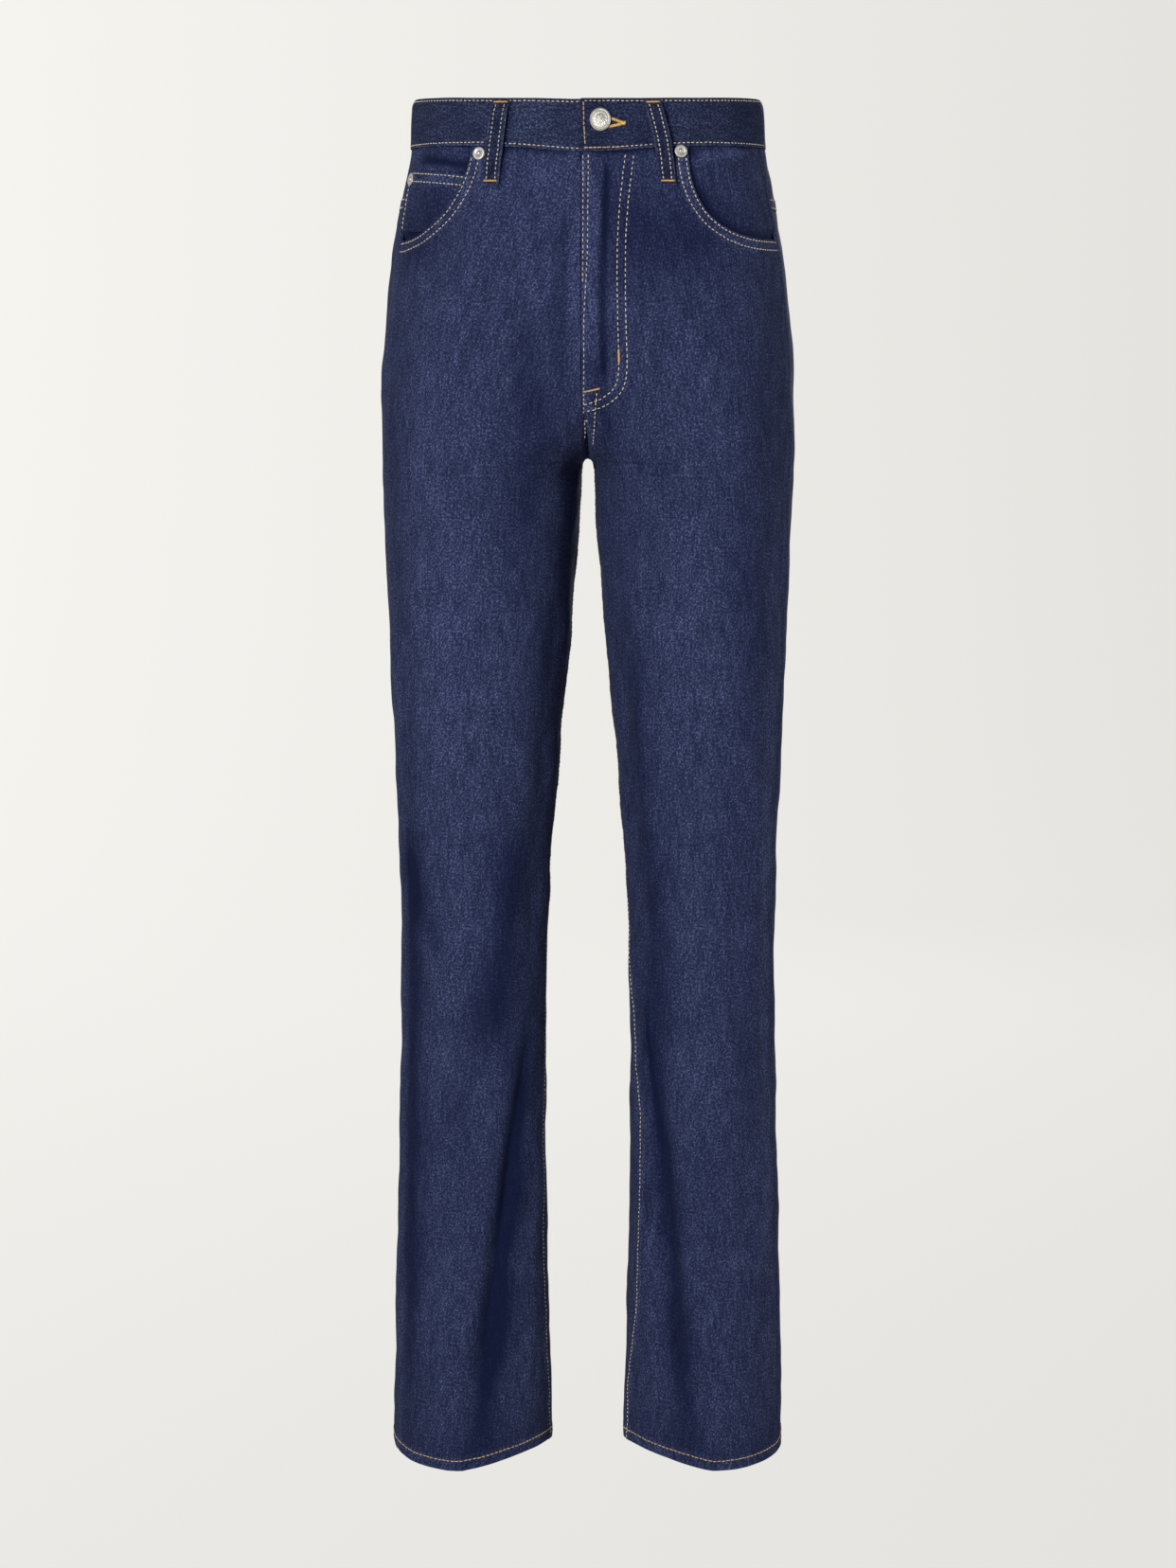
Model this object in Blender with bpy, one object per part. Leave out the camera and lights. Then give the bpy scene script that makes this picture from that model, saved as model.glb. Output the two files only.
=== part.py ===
"""Straight leg jeans in raw denim, hollow and rounded as if worn.

Metres, +Z up. The origin is the middle of the waist opening, level with the waistband's top edge.
The front faces -Y and the wearer's left side is +X. A place on the garment is given by three values:
side (+1 the wearer's left, -1 the right), drop (the height below the waist) and turn (the way round
one side: 0 centre front or inseam, 0.25 front crest, 0.5 side, 0.75 back crest, 1 centre back or inseam).
"""
import math

import bpy
import numpy as np

MM = 0.001
LEFT = 1
RIGHT = -1
SIDE_NAME = {LEFT: "left", RIGHT: "right"}

# Cloth and seams
CLOTH = 1.2 * MM
SEAM_GAP = 0.3 * MM
REST_GAP = 0.9 * MM
LAYER = CLOTH + REST_GAP

# Heights below the waist
CROTCH_DROP = 270 * MM
CROTCH_ROUNDING = 5 * MM
HEM_DROP = 1061 * MM
HEM_TILT = math.tan(math.radians(4.2))
HEM_TILT_START = 800 * MM
HEM_INNER_RISE = 6.5 * MM
HEM_INNER_TURN = 0.25

# Rise curve: where centre front and centre back leave the body and run under to the crotch
RISE_START_FRONT = 178 * MM
RISE_START_BACK = 172 * MM
RISE_POWER = 2.2
CROTCH_Y = 8 * MM
CLEFT_START_FRONT = 180 * MM
CLEFT_START_BACK = 192 * MM
CLEFT_END = 264 * MM

# Waistband
BAND_HEIGHT = 38.4 * MM
BAND_CENTRE_DIP = 4.6 * MM
BAND_DIP_WIDTH = 55 * MM
BAND_TOP_DIP = 4.7 * MM
BAND_TOP_DIP_WIDTH = 128 * MM
BAND_TOP_DIP_END_TURN = 0.75
BAND_LIFT = 0.9 * MM
BAND_THICKNESS = 2.4 * MM
BAND_GAP = 0.5 * MM
BAND_LAP_X = -5.2 * MM
BAND_UNDERLAP_X = 30 * MM
BAND_STEP = BAND_THICKNESS + 0.5 * MM
BAND_STEP_START_X = -42 * MM
BAND_STEP_END_X = -9 * MM

# Seams between panels
OUTSEAM_TURN = 0.44
FLY_SHIFT = -4.9 * MM
FLY_SHIFT_TURN = 0.14
FLY_LAP_LIFT = 1.1 * MM
FLY_LAP_TURN = 0.16
FLY_DROP = 215 * MM
FLY_END_DROP = 258 * MM

# Yoke seam and back pockets
YOKE_SIDE_DROP = 84 * MM
YOKE_CENTRE_DROP = 112 * MM

# One row per height, millimetres. inner_x is half the gap between the legs, outer_x the side's
# half width, front_y, side_y and back_y the depth of the front crest, the side and the back crest,
# inner_y the depth of the inseam and crest_x how far out the crests lie.
SECTION_COLUMNS = ("drop", "inner_x", "outer_x", "front_y", "side_y", "back_y", "inner_y", "crest_x")
SECTIONS = (
    (0, 0.0, 130.9, -81, 0, 80, 8, 40),
    (20, 0.0, 132.1, -84, 0, 84, 8, 41),
    (40, 0.0, 133.4, -87, 1, 89, 8, 43),
    (70, 0.0, 139.8, -93, 2, 100, 8, 47),
    (100, 0.0, 145.3, -98, 4, 110, 8, 53),
    (130, 0.0, 149.9, -102, 5, 117, 8, 59),
    (160, 0.0, 153.5, -105, 6, 121, 8, 65),
    (200, 0.0, 156.6, -107, 6, 121, 8, 71),
    (235, 0.0, 157.7, -105, 5, 115, 8, 75),
    (270, 3.6, 157.3, -101, 3, 105, 8, 77),
    (300, 5.8, 156.5, -96, 1, 95, 6, 80),
    (350, 9.1, 154.9, -89, 0, 86, 4, 82),
    (400, 13.0, 153.1, -83, -1, 79, 2, 83),
    (450, 17.7, 151.3, -77, -2, 73, 0, 85),
    (500, 22.3, 149.4, -72, -2, 68, 0, 86),
    (550, 26.6, 147.5, -68, -2, 64, 0, 87),
    (600, 30.0, 146.1, -65, -2, 62, 0, 88),
    (650, 31.9, 145.7, -64, -1, 62, 0, 89),
    (700, 32.7, 146.4, -62, 1, 64, 1, 90),
    (800, 33.0, 149.1, -57, 7, 71, 7, 91),
    (900, 32.0, 152.3, -51, 14, 80, 14, 93),
    (1000, 29.8, 155.3, -42, 24, 90, 24, 96),
    (1070, 28.7, 156.6, -36, 31, 98, 31, 99),
)

# The inseams twist forward below the thigh: how far, in turn, at each drop in millimetres
TWIST_COLUMNS = ("drop", "left", "right")
INSEAM_TWIST = (
    (270, 0.000, 0.000),
    (560, 0.000, 0.002),
    (640, 0.015, 0.006),
    (700, 0.042, 0.010),
    (760, 0.072, 0.018),
    (840, 0.083, 0.034),
    (900, 0.078, 0.028),
    (960, 0.063, 0.016),
    (1010, 0.045, 0.008),
    (1070, 0.038, 0.000),
)

# The largest soft folds: side, turn and drop of both ends, half width and height in millimetres.
# A turn is laid out flat as if the leg were LEG_GIRTH round.
LEG_GIRTH = 420 * MM
FOLD_COLUMNS = ("side", "turn_a", "drop_a", "turn_b", "drop_b", "half_width", "height")
FOLDS = (
    (LEFT, 0.088, 630, 0.143, 880, 9, 2.0),
    (LEFT, 0.146, 800, 0.092, 950, 9, 1.8),
    (LEFT, 0.215, 660, 0.240, 1000, 20, 1.6),
    (LEFT, 0.160, 640, 0.180, 1000, 15, -1.6),
    (LEFT, 0.345, 700, 0.350, 1000, 14, -1.6),
    (RIGHT, 0.120, 730, 0.235, 1030, 12, -2.6),
    (RIGHT, 0.255, 560, 0.330, 760, 16, 1.8),
    (RIGHT, 0.140, 300, 0.290, 420, 20, -1.6),
    (LEFT, 0.130, 290, 0.260, 400, 20, -1.4),
    (RIGHT, 0.690, 560, 0.830, 640, 14, -2.6),
    (LEFT, 0.670, 575, 0.810, 650, 14, -2.4),
    (RIGHT, 0.680, 620, 0.820, 590, 12, 1.8),
    (LEFT, 0.700, 300, 0.860, 340, 16, -2.4),
    (RIGHT, 0.710, 310, 0.870, 345, 16, -2.2),
)

# Front pocket mouths: where the scoop starts under the band, where it meets the outseam, its roundness
POCKET_TOP_X = {LEFT: 73.5 * MM, RIGHT: 85.5 * MM}
POCKET_POWER = {LEFT: 2.4, RIGHT: 1.7}
POCKET_BOTTOM_DROP = {LEFT: 106 * MM, RIGHT: 107 * MM}
POCKET_UNDER = 16 * MM
POCKET_RISE_FRACTION = 0.35
FACING_EXTRA_DEPTH = 0.6 * MM
FACING_SEAM_DEPTH = 0.2 * MM
FACING_RISE_LEVEL = 0.9
COIN_POCKET_DROP = 55.4 * MM
COIN_POCKET_DIP = 4.5 * MM
COIN_POCKET_END_DROP = 100 * MM
COIN_POCKET_UNDER = 10 * MM

# Fly pieces behind the lap
FLY_WIDTH = 31 * MM
FLY_TOP_DROP = 46 * MM
FLY_BOTTOM_DROP = 231 * MM
FLY_CURVE_DROP = 192 * MM
FLY_POWER = 2.4
ZIP_HALF_WIDTH = 11 * MM
ZIP_X = 12 * MM
ZIP_DROPS = (46 * MM, 178 * MM)
SHIELD_X = (-22 * MM, 26 * MM)
SHIELD_DROPS = (45 * MM, 182 * MM)

# Back pockets, measured along the cloth from the centre back seam
BACK_POCKET_INSET = 38 * MM
BACK_POCKET_TOP_WIDTH = 126 * MM
BACK_POCKET_LOW_WIDTH = 108 * MM
BACK_POCKET_TOP_DROP = 128 * MM
BACK_POCKET_SIDE_HEIGHT = 104 * MM
BACK_POCKET_POINT = 18 * MM

# Belt loops: side, front or back, x at top and bottom
LOOP_WIDTH = 12 * MM
LOOP_THICKNESS = 1.8 * MM
LOOP_CLEARANCE = 3.4 * MM
LOOP_TOP_DROP = 1.4 * MM
LOOP_BOTTOM_DROP = 68 * MM
LOOP_FADE_START = 4 * MM
LOOP_FADE_END = 12 * MM
LOOP_TOP_RISE = 0.2
LOOP_BOTTOM_RISE = 0.34
LOOP_COLUMNS = ("name", "is_back", "top_x", "bottom_x")
LOOPS = (
    ("front_left", False, 51.5, 61.0),
    ("front_right", False, -62.5, -73.5),
    ("back_left", True, 78.0, 81.0),
    ("back_right", True, -78.0, -81.0),
    ("centre_back", True, 0.0, 0.0),
)

# Hem
HEM_DEPTH = 11 * MM
HEM_THICKNESS = 1.6 * MM
HEM_EDGE = 0.6 * MM

# Metal. A profile gives pairs of millimetres from the outermost edge and up from the cloth.
BUTTON_X = 8.9 * MM
BUTTON_DROP = 18.6 * MM
BUTTON_RADIUS = 8.6 * MM
BUTTON_SHANK_RADIUS = 2.4 * MM
BUTTON_HOLE_RADIUS = 3.0 * MM
BUTTON_CLEARANCE = 1.0 * MM
BUTTON_PROFILE = (
    (-1.2, 1.0),
    (0.0, 1.7),
    (0.0, 2.6),
    (-0.7, 3.3),
    (-1.7, 3.2),
    (-2.4, 3.5),
    (-4.7, 4.2),
)
BUTTON_HEIGHT = 4.5 * MM
RIVET_RADIUS = 4.8 * MM
RIVET_PROFILE = (
    (0.0, 0.0),
    (0.0, 0.5),
    (-1.0, 1.2),
    (-2.8, 1.1),
    (-3.3, 2.0),
)
RIVET_HEIGHT = 2.2 * MM
RIVET_LIFT = 0.7 * MM
RIVET_COLUMNS = ("name", "side", "x", "drop")
RIVETS = (
    ("front_left", LEFT, 67.4, 43.2),
    ("front_right", RIGHT, 79.2, 44.6),
)
COIN_RIVET_DROP = 62 * MM
COIN_RIVET_TURN = 0.425

# Mesh fineness
FRONT_COLUMNS = 16
BACK_COLUMNS = 16
POCKET_ROWS = 7
RISE_ROWS = 8
LEG_ROWS = 13
BAND_COLUMNS = 72
BAND_ROWS = 2
SQUEEZE_TURN = 0.2
FRONT_TOP_FADE = 30 * MM
BACK_TOP_FADE = 60 * MM
MOUTH_CROWDING = 1.5
FACING_GRID = (10, 9)
COIN_POCKET_GRID = (6, 7)
BACK_POCKET_GRID = (12, 13)
LOOP_ROWS = 13
HEM_COLUMNS = 32
HOLE_SEGMENTS = 12
BUTTON_SEGMENTS = 28
RIVET_SEGMENTS = 18


def clear_scene():
    """Remove whatever the file starts with."""
    for item in list(bpy.data.objects):
        bpy.data.objects.remove(item, do_unlink=True)


def principled(name, colour, roughness, metallic):
    """One material with a plain Principled surface."""
    material = bpy.data.materials.new(name)
    material.use_nodes = True
    shader = material.node_tree.nodes["Principled BSDF"]
    shader.inputs["Base Color"].default_value = (*colour, 1)
    shader.inputs["Roughness"].default_value = roughness
    shader.inputs["Metallic"].default_value = metallic
    return material


def natural_spline(knots, values):
    """A smooth curve through the table's values, as a function of height."""
    knots = np.asarray(knots, float)
    values = np.asarray(values, float)
    steps = np.diff(knots)
    slopes = np.diff(values) / steps
    count = len(knots)
    system = np.eye(count)
    right = np.zeros(count)
    for row in range(1, count - 1):
        system[row, row - 1] = steps[row - 1]
        system[row, row] = 2 * (steps[row - 1] + steps[row])
        system[row, row + 1] = steps[row]
        right[row] = 6 * (slopes[row] - slopes[row - 1])
    bends = np.linalg.solve(system, right)

    def curve(where):
        """Value of the spline at each height, held level past its ends."""
        where = np.clip(np.asarray(where, float), knots[0], knots[-1])
        spot = np.clip(np.searchsorted(knots, where) - 1, 0, count - 2)
        low = where - knots[spot]
        high = knots[spot + 1] - where
        width = steps[spot]
        cubic = (bends[spot] * high ** 3 + bends[spot + 1] * low ** 3) / (6 * width)
        line_low = (values[spot] / width - bends[spot] * width / 6) * high
        line_high = (values[spot + 1] / width - bends[spot + 1] * width / 6) * low
        return cubic + line_low + line_high

    return curve


def table_curves(columns, rows, scale):
    """A spline for each named column of a table whose first column is the drop in millimetres."""
    drops = [row[0] * MM for row in rows]
    curves = {}
    for index, name in enumerate(columns[1:], start=1):
        curves[name] = natural_spline(drops, [row[index] * scale for row in rows])
    return curves


SECTION = table_curves(SECTION_COLUMNS, SECTIONS, MM)
TWIST = table_curves(TWIST_COLUMNS, INSEAM_TWIST, 1)


def smooth(value):
    """0 to 1 with level ends."""
    value = np.clip(value, 0, 1)
    return value * value * (3 - 2 * value)


def arc_fall(value, power):
    """1 to 0 along a rounded quarter, as value goes from 0 to 1."""
    return (1 - np.clip(value, 0, 1) ** power) ** (1 / power)


def centre_line(drop, crest_y, start):
    """Depth of the centre front or centre back, which runs under to the crotch."""
    fall = arc_fall((drop - start) / (CROTCH_DROP - start), RISE_POWER)
    return CROTCH_Y + (crest_y - CROTCH_Y) * fall


def inseam_turn(side, drop):
    """Turn of the inseam: 0 unless the leg twists."""
    return np.maximum(TWIST[SIDE_NAME[side]](drop), 0)


def hem_rise(turn, drop):
    """How much the hem rises between the inseam and the front crest."""
    fade = smooth((drop - HEM_TILT_START) / (HEM_DROP - HEM_TILT_START))
    share = np.clip(np.mod(turn, 1 + 1e-12) / HEM_INNER_TURN, 0, 1)
    return HEM_INNER_RISE * fade * np.sin(math.pi * share)


def bare_surface(side, turn, drop):
    """Outer face of the cloth without folds, seams lifted or anything laid on it."""
    turn, drop = np.broadcast_arrays(np.asarray(turn, float), np.asarray(drop, float))
    row = {name: curve(drop) for name, curve in SECTION.items()}
    angle = 2 * math.pi * np.mod(turn, 1 + 1e-12)
    across = np.cos(angle)
    along = np.abs(np.sin(angle))
    is_front = angle <= math.pi
    is_inner = across >= 0
    in_leg = drop >= CROTCH_DROP
    cleft_start = np.where(is_front, CLEFT_START_FRONT, CLEFT_START_BACK)
    cleft = smooth((drop - cleft_start) / (CLEFT_END - cleft_start))

    crest_y = np.where(is_front, row["front_y"], row["back_y"])
    rise_start = np.where(is_front, RISE_START_FRONT, RISE_START_BACK)
    rise_y = centre_line(drop, crest_y, rise_start)
    inner_y = np.where(in_leg, row["inner_y"], rise_y)

    rounding = arc_fall(1 - (drop - CROTCH_DROP) / CROTCH_ROUNDING, 2)
    inner_x = np.where(in_leg, row["inner_x"] * rounding, 0) + 0.5 * SEAM_GAP * cleft
    crest_x = row["crest_x"]

    reach = np.where(is_front, angle, 2 * math.pi - angle) / (0.5 * math.pi)
    body_x = crest_x * reach
    leg_x = inner_x + (crest_x - inner_x) * (1 - across)
    body_y = inner_y + (crest_y - inner_y) * along ** 2
    leg_y = inner_y + (crest_y - inner_y) * along
    inner_part_x = (1 - cleft) * body_x + cleft * leg_x
    inner_part_y = (1 - cleft) * body_y + cleft * leg_y
    outer_part_x = crest_x + (row["outer_x"] - crest_x) * -across
    outer_part_y = row["side_y"] + (crest_y - row["side_y"]) * along
    x = np.where(is_inner, inner_part_x, outer_part_x)
    y = np.where(is_inner, inner_part_y, outer_part_y)

    shift_fade = smooth((FLY_END_DROP - drop) / (FLY_END_DROP - FLY_DROP))
    shift = FLY_SHIFT * shift_fade * smooth(1 - turn / FLY_SHIFT_TURN)
    tilt = HEM_TILT * smooth((drop - HEM_TILT_START) / (HEM_DROP - HEM_TILT_START))
    z = -drop + tilt * (y - row["side_y"]) + hem_rise(turn, drop)
    return np.stack([side * x + shift, y, z], axis=-1)


def fold_lift(side, turn, drop):
    """Height of the soft folds at a place on the cloth."""
    lift = np.zeros(np.broadcast(turn, drop).shape)
    for row in FOLDS:
        fold = dict(zip(FOLD_COLUMNS, row))
        if fold["side"] != side:
            continue
        start = np.array([fold["turn_a"] * LEG_GIRTH, fold["drop_a"] * MM])
        end = np.array([fold["turn_b"] * LEG_GIRTH, fold["drop_b"] * MM])
        run = end - start
        offset_u = np.asarray(turn) * LEG_GIRTH - start[0]
        offset_v = np.asarray(drop) - start[1]
        along = (offset_u * run[0] + offset_v * run[1]) / (run @ run)
        away = (offset_u * run[1] - offset_v * run[0]) / np.linalg.norm(run)
        spread = np.exp(-(away / (fold["half_width"] * MM)) ** 2)
        ends = smooth(1.0 - np.abs(2 * along - 1))
        lift = lift + fold["height"] * MM * spread * ends
    return lift


def surface_normal(side, turn, drop):
    """Outward direction of the cloth."""
    step_turn = 0.001
    step_drop = 0.5 * MM
    turn = np.asarray(turn, float)
    drop = np.asarray(drop, float)
    low_turn = np.where(drop < CROTCH_DROP, np.maximum(turn - step_turn, 0), turn - step_turn)
    high_turn = np.where(drop < CROTCH_DROP, np.minimum(turn + step_turn, 1), turn + step_turn)
    around = bare_surface(side, high_turn, drop) - bare_surface(side, low_turn, drop)
    down = bare_surface(side, turn, drop + step_drop) - bare_surface(side, turn, drop - step_drop)
    normal = np.cross(down, around) * side
    return normal / np.linalg.norm(normal, axis=-1, keepdims=True)


def cloth_point(side, turn, drop, lift=0.0):
    """Point of the cloth at a lift from its outer face, folds included."""
    turn, drop, lift = np.broadcast_arrays(turn, drop, lift)
    height = lift + fold_lift(side, turn, drop)
    return bare_surface(side, turn, drop) + surface_normal(side, turn, drop) * height[..., None]


def seam_margin(side, turn, drop):
    """Half a seam gap, as a change of turn."""
    step = 0.002
    ahead = bare_surface(side, np.asarray(turn) + step, drop)
    run = np.linalg.norm(ahead - bare_surface(side, turn, drop), axis=-1)
    return 0.5 * SEAM_GAP * step / run


def turn_at_x(side, x, drop, is_back=False):
    """Turn on the front (or back) of one side whose bare surface lies at this x from the middle."""
    x, drop = np.broadcast_arrays(np.asarray(x, float), np.asarray(drop, float))
    low = np.zeros(x.shape)
    high = np.full(x.shape, 0.5)
    for _ in range(30):
        middle = 0.5 * (low + high)
        turn = 1 - middle if is_back else middle
        reached = side * bare_surface(side, turn, drop)[..., 0]
        low = np.where(reached < x, middle, low)
        high = np.where(reached < x, high, middle)
    return 1 - high if is_back else high


def turn_from_back(side, distance, drop):
    """Turn at a distance along the cloth from the centre back seam, for one drop."""
    turns = np.linspace(1, 0.4, 121)
    points = bare_surface(side, turns, drop)
    lengths = np.linalg.norm(np.diff(points, axis=0), axis=1)
    return np.interp(distance, np.concatenate([[0], np.cumsum(lengths)]), turns)


def closed_solid(name, outer, inner, material, wraps=False):
    """One closed body between two grids of points, whose last column may meet the first."""
    rows, columns, _ = outer.shape
    points = np.concatenate([outer.reshape(-1, 3), inner.reshape(-1, 3)])
    back = rows * columns

    def index(layer, row, column):
        """Number of a grid point."""
        return layer * back + row * columns + column % columns

    faces = []
    spans = columns if wraps else columns - 1
    for row in range(rows - 1):
        for column in range(spans):
            near = [(row, column), (row + 1, column), (row + 1, column + 1), (row, column + 1)]
            faces.append([index(0, *place) for place in near])
            faces.append([index(1, *place) for place in reversed(near)])
    for column in range(spans):
        for row, turned in ((0, False), (rows - 1, True)):
            edge = [index(0, row, column), index(0, row, column + 1)]
            edge += [index(1, row, column + 1), index(1, row, column)]
            faces.append(edge[::-1] if turned else edge)
    if not wraps:
        for row in range(rows - 1):
            for column, turned in ((0, True), (columns - 1, False)):
                edge = [index(0, row, column), index(0, row + 1, column)]
                edge += [index(1, row + 1, column), index(1, row, column)]
                faces.append(edge if not turned else edge[::-1])
    return add_body(name, points, faces, material)


def add_body(name, points, faces, material):
    """A mesh object whose faces point out."""
    mesh = bpy.data.meshes.new(name)
    mesh.from_pydata([tuple(point) for point in points], [], [list(face) for face in faces])
    mesh.materials.append(material)
    if signed_volume(points, faces) < 0:
        mesh.flip_normals()
    mesh.shade_smooth()
    mesh.set_sharp_from_angle(angle=math.radians(40))
    item = bpy.data.objects.new(name, mesh)
    bpy.context.scene.collection.objects.link(item)
    return item


def signed_volume(points, faces):
    """Volume inside the faces, negative where they point in."""
    total = 0.0
    for face in faces:
        first = points[face[0]]
        for second, third in zip(face[1:-1], face[2:]):
            total += np.dot(first, np.cross(points[second], points[third]))
    return total / 6


def patch(name, side, turn, drop, lift, thickness, material, wraps=False):
    """A piece of cloth laid on the garment, its outer face at the lift."""
    outer = cloth_point(side, turn, drop, lift)
    inner = cloth_point(side, turn, drop, lift - thickness)
    return closed_solid(name, outer, inner, material, wraps)


def band_bottom(side, turn, drop=BAND_HEIGHT):
    """Drop of the waistband's lower edge, a little lower at the centre front."""
    x = bare_surface(side, turn, drop)[..., 0]
    is_front = np.asarray(turn) < 0.5
    return BAND_HEIGHT + np.where(is_front, BAND_CENTRE_DIP * np.exp(-(x / BAND_DIP_WIDTH) ** 2), 0)


def band_top(turn):
    """Drop of the waistband's upper edge: it dips across the front and fades out on the back."""
    x = bare_surface(LEFT, turn, 0)[..., 0]
    fade = 1 - smooth((np.asarray(turn) - 0.5) / (BAND_TOP_DIP_END_TURN - 0.5))
    return BAND_TOP_DIP * np.exp(-(x / BAND_TOP_DIP_WIDTH) ** 4) * fade


def pocket_mouth_x(side, drop):
    """How far out the edge of the pocket mouth lies at a drop."""
    top_drop = BAND_HEIGHT
    bottom_drop = POCKET_BOTTOM_DROP[side]
    side_turn = OUTSEAM_TURN
    side_x = side * bare_surface(side, side_turn, np.full(np.shape(drop), bottom_drop))[..., 0]
    fall = arc_fall((drop - top_drop) / (bottom_drop - top_drop), POCKET_POWER[side])
    return side_x - (side_x - POCKET_TOP_X[side]) * fall


def pocket_mouth_turn(side, drop):
    """Turn of the mouth's edge, the outseam below the pocket."""
    inside = turn_at_x(side, pocket_mouth_x(side, drop), drop)
    return np.where(drop >= POCKET_BOTTOM_DROP[side], OUTSEAM_TURN, np.minimum(inside, OUTSEAM_TURN))


def sine_steps(start, end, count):
    """Heights that crowd together towards the end, without the start."""
    return start + (end - start) * np.sin(0.5 * math.pi * np.arange(1, count + 1) / count)


def mouth_steps(start, end, count):
    """Heights down a pocket mouth, close together where its edge turns level."""
    angle = 0.5 * math.pi * (1 - (1 - np.arange(1, count + 1) / count) ** MOUTH_CROWDING)
    return start + (end - start) * np.sin(angle)


def leg_rows():
    """Heights from below the crotch to the hem."""
    under_crotch = CROTCH_DROP + CROTCH_ROUNDING * np.array([0.2, 1.0])
    return np.concatenate([under_crotch, np.linspace(under_crotch[-1], HEM_DROP, LEG_ROWS + 1)[1:]])


def panel_grid(side, heights, top, top_fade, edge_in, edge_out, columns):
    """Turns and drops of a panel whose first row follows its top edge."""
    share = np.linspace(0, 1, columns + 1)[None, :]
    drop = np.repeat(heights[:, None], columns + 1, axis=1)
    turn = squeezed(edge_in(drop), edge_out(drop), share)
    slide = np.clip(1 - (drop - heights[0]) / top_fade, 0, 1)
    drop = drop + (top(side, turn) - heights[0]) * slide
    turn = squeezed(edge_in(drop), edge_out(drop), share)
    return turn, drop


def squeezed(edge_in, edge_out, share):
    """Turns across a panel: a narrowed outer edge moves only the columns beyond SQUEEZE_TURN."""
    is_front = edge_out < 0.5
    widest = np.where(is_front, OUTSEAM_TURN, edge_out)
    turn = edge_in + (widest - edge_in) * share
    outer_part = np.clip((turn - SQUEEZE_TURN) / (widest - SQUEEZE_TURN), 0, 1)
    return turn - outer_part * (widest - edge_out)


def front_panel(side, denim):
    """Front leg panel: from the band to the hem, with the pocket scooped out of its side."""
    top = BAND_HEIGHT + BAND_GAP
    mouth_end = POCKET_BOTTOM_DROP[side]
    heights = np.concatenate([
        [top],
        mouth_steps(top, mouth_end, POCKET_ROWS),
        np.linspace(mouth_end, RISE_START_FRONT, 4)[1:],
        sine_steps(RISE_START_FRONT, CROTCH_DROP, RISE_ROWS),
        leg_rows(),
    ])

    def edge_in(drop):
        """Centre front, then the inseam."""
        turn = inseam_turn(side, drop)
        return turn + seam_margin(side, turn, drop)

    def edge_out(drop):
        """Pocket mouth, then the outseam."""
        turn = pocket_mouth_turn(side, drop)
        return turn - seam_margin(side, turn, drop)

    def panel_top(panel_side, turn):
        """Just under the band."""
        return band_bottom(panel_side, turn) + BAND_GAP

    turn, drop = panel_grid(
        side, heights, panel_top, FRONT_TOP_FADE, edge_in, edge_out, FRONT_COLUMNS
    )
    lap = smooth(1 - turn / FLY_LAP_TURN) * smooth((FLY_END_DROP - drop) / (FLY_END_DROP - FLY_DROP))
    lift = FLY_LAP_LIFT * lap if side == LEFT else 0 * lap
    patch(f"front_{SIDE_NAME[side]}", side, turn, drop, lift, CLOTH, denim)


def yoke_bottom(side, turn):
    """Drop of the seam under the yoke, lower at the centre back."""
    share = smooth((np.asarray(turn) - OUTSEAM_TURN) / (1 - OUTSEAM_TURN))
    return YOKE_SIDE_DROP + (YOKE_CENTRE_DROP - YOKE_SIDE_DROP) * share


def outseam_edge(side, drop):
    """Turn where the back's pieces start."""
    turn = np.full(np.shape(drop), OUTSEAM_TURN)
    return turn + seam_margin(side, turn, drop)


def back_edge(side, drop):
    """Turn where the back's pieces end: centre back, then the inseam."""
    turn = 1 + inseam_turn(side, drop)
    return turn - seam_margin(side, turn - 0.002, drop)


def back_panel(side, denim):
    """Back leg panel: from the yoke to the hem."""
    top = YOKE_SIDE_DROP + SEAM_GAP
    heights = np.concatenate([
        np.linspace(top, RISE_START_BACK, 5),
        sine_steps(RISE_START_BACK, CROTCH_DROP, RISE_ROWS),
        leg_rows(),
    ])

    def panel_top(panel_side, turn):
        """Just under the yoke."""
        return yoke_bottom(panel_side, turn) + SEAM_GAP

    turn, drop = panel_grid(
        side, heights, panel_top, BACK_TOP_FADE,
        lambda height: outseam_edge(side, height),
        lambda height: back_edge(side, height),
        BACK_COLUMNS,
    )
    patch(f"back_{SIDE_NAME[side]}", side, turn, drop, 0, CLOTH, denim)


def yoke(side, denim):
    """Wedge between the waistband and the back panel."""
    share = np.linspace(0, 1, BACK_COLUMNS + 1)[None, :]
    down = np.linspace(0, 1, 4)[:, None]
    middle = 0.5 * (BAND_HEIGHT + YOKE_SIDE_DROP)
    turn = OUTSEAM_TURN + (1 - OUTSEAM_TURN) * share
    margin = seam_margin(side, np.minimum(turn, 0.998), middle)
    turn = turn + margin * (1 - 2 * share)
    start = band_bottom(side, turn) + BAND_GAP
    drop = start + (yoke_bottom(side, turn) - start) * down
    patch(f"yoke_{SIDE_NAME[side]}", side, turn + 0 * drop, drop, 0, CLOTH, denim)


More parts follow.
